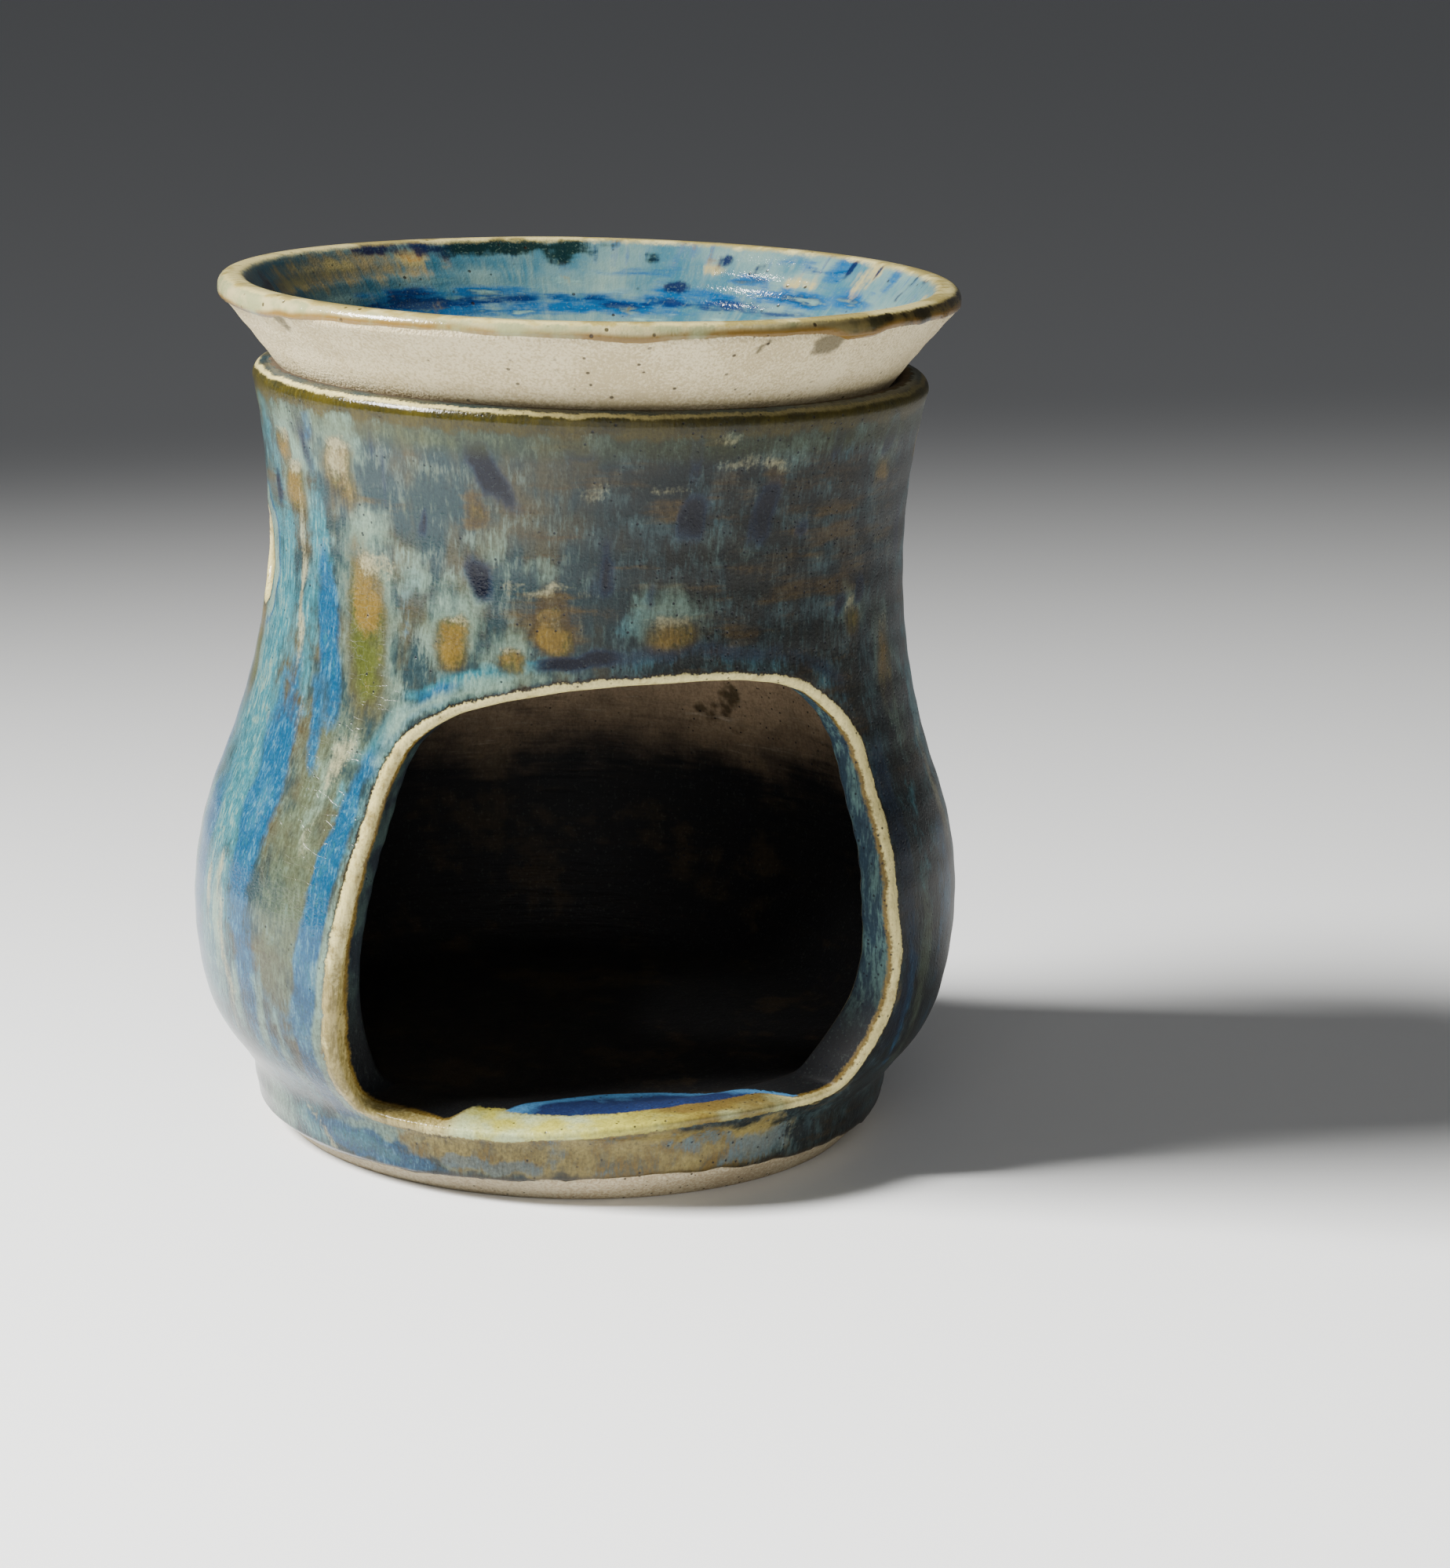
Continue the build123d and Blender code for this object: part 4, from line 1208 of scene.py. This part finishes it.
# %% [markdown]
# Where the glaze is thick it crazed: the cooling glass shrank more than the clay and tore in a net of
# lines that lie mostly across the runs. The lines are the borders of cells that are wider than tall.
# The glaze is glass, glossy at the left and satin at the right, where fine specks dull it. Its index of
# refraction is set below glass's 1.5, because the film curve lifts weak reflections into a veil.
# %% Crazing, relief and the pot's surface
bent = glaze.node("ShaderNodeVectorMath", {"operation": "ADD"}, [
    glaze.stretched((0.75, 0.75, 1.7)),
    glaze.node("ShaderNodeCombineXYZ", {}, [patch * 0.0007, drift * 0.0006, cloud * 0.0012]),
])
cells = glaze.node("ShaderNodeTexVoronoi", {"feature": "DISTANCE_TO_EDGE"}, {
    "Vector": bent, "Scale": 400.0}, "Distance")
crazed = glaze.step(glaze.field("crazed") - glaze.field("azure") * 0.6 + cloud * 0.2, 0.35, 0.7)
tear = glaze.step(cells, 0.028, 0.0) * crazed * glaze.step(drift + patch * 0.5, -0.9, 0.5)
glaze.colour = glaze.blend(tear * 0.35, glaze.colour, screen(112, 120, 100))
rise = (fibre * 0.08 + grain * 0.08 + flow * 0.25 - tear * 0.15) * (1 - bare)
rise = rise + bare * grain * 0.4 - pores * 0.5 + strokes * glaze.step(glaze.field("side"), 0.9, 1.0)
satin = 0.15 + painted_shade * 0.28 + bare * 0.6 + glaze.field("side") * 0.4 + glaze.step(inward, -1.5, -2.1) * 0.15
pot.data.materials.append(glaze.fired(rise, satin, 1.36))
print("nodes of the pot's glaze", len(glaze.tree.nodes))

# %% [markdown]
# ## The dish's glaze
# In the bowl the same glaze lies in a pool, so its streaks run round the bowl low down and straight
# down its side higher up. Two lists of coordinates give the noises those directions: the sine and
# cosine of the angle for round the bowl, and the run down from the crest.
# %% Noises of the dish's glaze
bowl = Finish("dish_glaze")
sine, cosine, run = bowl.field("sine"), bowl.field("cosine"), bowl.field("run")
down = bowl.node("ShaderNodeCombineXYZ", {}, [sine * 0.044, cosine * 0.044, run * 0.00014])
round_bowl = bowl.node("ShaderNodeCombineXYZ", {}, [sine * 0.007, cosine * 0.007, run * 0.001])
spoke, hoop = bowl.noise(down, 900), bowl.noise(round_bowl, 620)
patch, cloud = bowl.noise(bowl.place, 260), bowl.noise(bowl.place, 85)
grain = bowl.noise(bowl.place, 2700, 1)
ragged = patch * 0.3 + spoke * 0.18 + hoop * 0.12
high, low = bowl.step(run, 9.0, 4.0), bowl.step(run, 6.0, 11.0)
print("nodes for the bowl's noises", len(bowl.tree.nodes))

# %% [markdown]
# The bowl's layers go from its grey ground over spokes of blue to the deep pool, and the ochre and dark
# drips come last, because they came off the brush last. The pool could be a second, clear surface, but
# colour alone is enough for a bowl that is seen from so low.
# %% Glaze of the bowl
bowl.colour = bowl.tone(
    screen(70, 116, 132), screen(130, 152, 146), cloud + patch * 0.5 + spoke * 0.3, -1.2, 1.3)
bowl.coat(screen(44, 100, 142), spoke + patch * 0.5, 0.0, 1.2, high * 0.7)
bowl.coat(screen(158, 170, 148), spoke * 0.7 - patch * 0.6, 0.1, 1.5, 0.35)
bowl.coat(bowl.tone(screen(132, 134, 120), screen(164, 150, 112), patch + spoke * 0.5, -0.5, 0.8),
          bowl.field("brown") + ragged, 0.2, 0.8, 0.95)
bowl.coat(screen(36, 98, 140), bowl.field("azure") + hoop * 0.35 + patch * 0.25, 0.3, 0.9)
bowl.coat(screen(14, 42, 84), bowl.field("azure") + hoop * 0.6 + patch * 0.2, 0.8, 1.3, 0.85)
bowl.coat(screen(146, 178, 168), hoop * 0.9 + patch * 0.3, 0.2, 1.0, low * 0.8)
bowl.coat(screen(18, 52, 100), bowl.field("glaze_pool_and_lit_floor") + hoop * 0.5 + patch * 0.2, 0.4, 1.1, 0.92)
bowl.coat(bowl.tone(screen(40, 94, 128), turquoise, hoop * 0.8 + cloud * 0.5 + grain * 0.2, -1.6, 1.4),
          run, 15.5, 19.0)
bowl.coat(screen(176, 164, 118), bowl.field("thin") + ragged, 0.25, 0.8, 0.85)
bowl.coat(screen(196, 158, 84), bowl.field("thin") + ragged, 0.8, 1.2, 0.8)
bowl.coat(bowl.blend(bowl.field("green"), screen(24, 42, 84), screen(18, 44, 40)),
          bowl.field("dark") + ragged * 1.1, 0.25, 0.8, 0.94)
bowl.coat(milk, grain, 0.4, 1.2, 0.25)
print("nodes with the bowl", len(bowl.tree.nodes))

# %% [markdown]
# On the dish's edge the glaze thins to cream. Where the edge turns down it is painted as light and shade: a
# pale lit copy of the glaze, and a brown shaded copy on the right side. The glaze ends in a lap on the side.
# Below that the clay is bare, paler than the pot's foot, with iron specks and a stain where a drop ran off.
# %% Edge of the dish, its bare clay and its surface
ripple = patch * 0.35 + grain * 0.15
brim = run + ripple
bowl.coat(bowl.tone(cream, screen(170, 158, 104), cloud + patch, -0.4, 0.6), brim, 2.6, 1.3)
# Painted light and shade: a pale lit copy of the band, and a brown shaded copy on the right side.
lit = bowl.tone(screen(164, 166, 130), screen(188, 180, 142), patch + cloud, -0.6, 0.6)
shaded = bowl.tone(screen(60, 54, 30), screen(112, 100, 60), patch, -0.5, 0.5)
bowl.coat(bowl.blend(bowl.field("painted_shade"), lit, shaded), brim, -0.6, -1.2)
lap = bowl.field("lap") + ripple * 0.12
bowl.coat(screen(140, 112, 54), lap, 1.3, 0.5, bowl.step(cloud + patch * 0.4, -0.9, 0.1) * 0.9)
bare = bowl.step(lap, 0.08, -0.08)
iron = bowl.dots(bowl.place, 430, 0.14) * bowl.step(cloud + patch * 0.5, -1.0, 0.4)
clay = bowl.tone(bisque, sand, grain + cloud * 0.7 + patch * 0.3, -0.9, 0.9)
clay = bowl.tone(clay, screen(108, 100, 78), bowl.field("stain") + patch * 0.3, 0.3, 0.8, 0.85)
bowl.colour = bowl.blend(iron * 0.85, bowl.blend(bare, bowl.colour, clay), fleck)
rise = (spoke * 0.1 + grain * 0.08) * (1 - bare) + bare * (grain * 0.5 + patch * 0.3) - iron * 0.6
dish.data.materials.append(bowl.fired(rise, 0.14 + bare * 0.68, 1.42))
print("nodes of the dish's glaze", len(bowl.tree.nodes))

# %% [markdown]
# ## Table, camera and light
# A pale table, a camera where the eye looked from, a large soft lamp at the left and a weak one
# in front. The lamp could be a sun, but a wide one leaves the soft sheen that shows a glaze is glass.
# Both have a grid, so the table falls into shade behind the pot. The pot's sides mirror what lies
# behind them, and a bright table there would turn its dark glaze white.
# %% Table
floor_mesh = bpy.data.meshes.new("table")
floor_reach = 9
corners = [(x * floor_reach, y * floor_reach, 0) for x, y in ((-1, -1), (1, -1), (1, 1), (-1, 1))]
floor_mesh.from_pydata(corners, [], [(0, 1, 2, 3)])
floor = bpy.data.objects.new("table", floor_mesh)
bpy.context.scene.collection.objects.link(floor)
paper = Finish("table_paper")
floor.data.materials.append(paper.surface({"Base Color": (0.85, 0.865, 0.88, 1), "Roughness": 0.55}))
print("table", 2 * floor_reach, "m wide")

# %% [markdown]
# The camera looks from slightly above and from the left. Its place and turn follow from the ellipses of
# the dish, the rim and the foot. It is rolled a little, so its axes are worked out as three vectors.
# %% Camera
yaw, pitch, roll = np.radians([9.86, -13.77, 1.70])
ahead = Vector((math.sin(yaw) * math.cos(pitch), math.cos(yaw) * math.cos(pitch), math.sin(pitch)))
level = Vector((math.cos(yaw), -math.sin(yaw), 0))
upright = level.cross(ahead)
right = level * math.cos(roll) + upright * math.sin(roll)
up = upright * math.cos(roll) - level * math.sin(roll)
camera = bpy.data.objects.new("camera", bpy.data.cameras.new("camera"))
camera.data.sensor_fit = "HORIZONTAL"
camera.data.sensor_width = 36
camera.data.lens = 96.5
camera.data.clip_start = 0.01
eye = (-65.83 * MM, -491.04 * MM, 165.8 * MM)
camera.matrix_world = Matrix([
    *[(right[axis], up[axis], -ahead[axis], eye[axis]) for axis in range(3)], (0, 0, 0, 1)])
bpy.context.scene.collection.objects.link(camera)
bpy.context.scene.camera = camera
print("camera at", [round(part_of, 3) for part_of in eye], "m, lens", camera.data.lens, "mm")

# %% [markdown]
# The key lamp is small enough to draw the form and wide enough to stay soft. The fill hardly shows in
# the glaze. A dim even sky lifts what neither of them reaches.
# %% Lamps


def lamp(name, place, aim, size, power, color, gloss, spread):
    """A square lamp with a grid in front, at a place and turned to an aim. It shows in a glaze by its
    gloss, and its light falls to nothing at half the spread, in degrees, off its axis."""
    made = bpy.data.objects.new(name, bpy.data.lights.new(name, "AREA"))
    made.data.size, made.data.energy, made.data.color = size, power, color
    made.data.specular_factor, made.data.spread = gloss, math.radians(spread)
    made.location = place
    made.rotation_euler = (Vector(aim) - made.location).to_track_quat("-Z", "Y").to_euler()
    bpy.context.scene.collection.objects.link(made)


lamp("key", (-0.78, -0.06, 0.76), (0.05, -0.25, 0), 0.35, 9.4, (1, 0.98, 0.94), 1.0, 70)
lamp("fill", (-0.1, -1.3, 0.5), (0, 0, 0.06), 1.2, 2.7, (1, 0.98, 0.95), 0.12, 110)
world = bpy.data.worlds.new("studio")
bpy.context.scene.world = world
world.use_nodes = True
sky = world.node_tree.nodes["Background"].inputs
sky["Color"].default_value, sky["Strength"].default_value = (0.55, 0.56, 0.58, 1), 0.13
print("lamps", [lit_by.name for lit_by in bpy.data.lights])

# %% [markdown]
# ## Tie the pieces to the frame
# Each piece rides on its body and stands for its solid, whose own mesh is hidden.
# %% Ride and replace
for piece, body, node, slot in ((pot, "pot", "burner_body", "pot_stoneware"), (dish, "dish", "oil_dish", "dish_stoneware")):
    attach(piece, body)
    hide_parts(node)
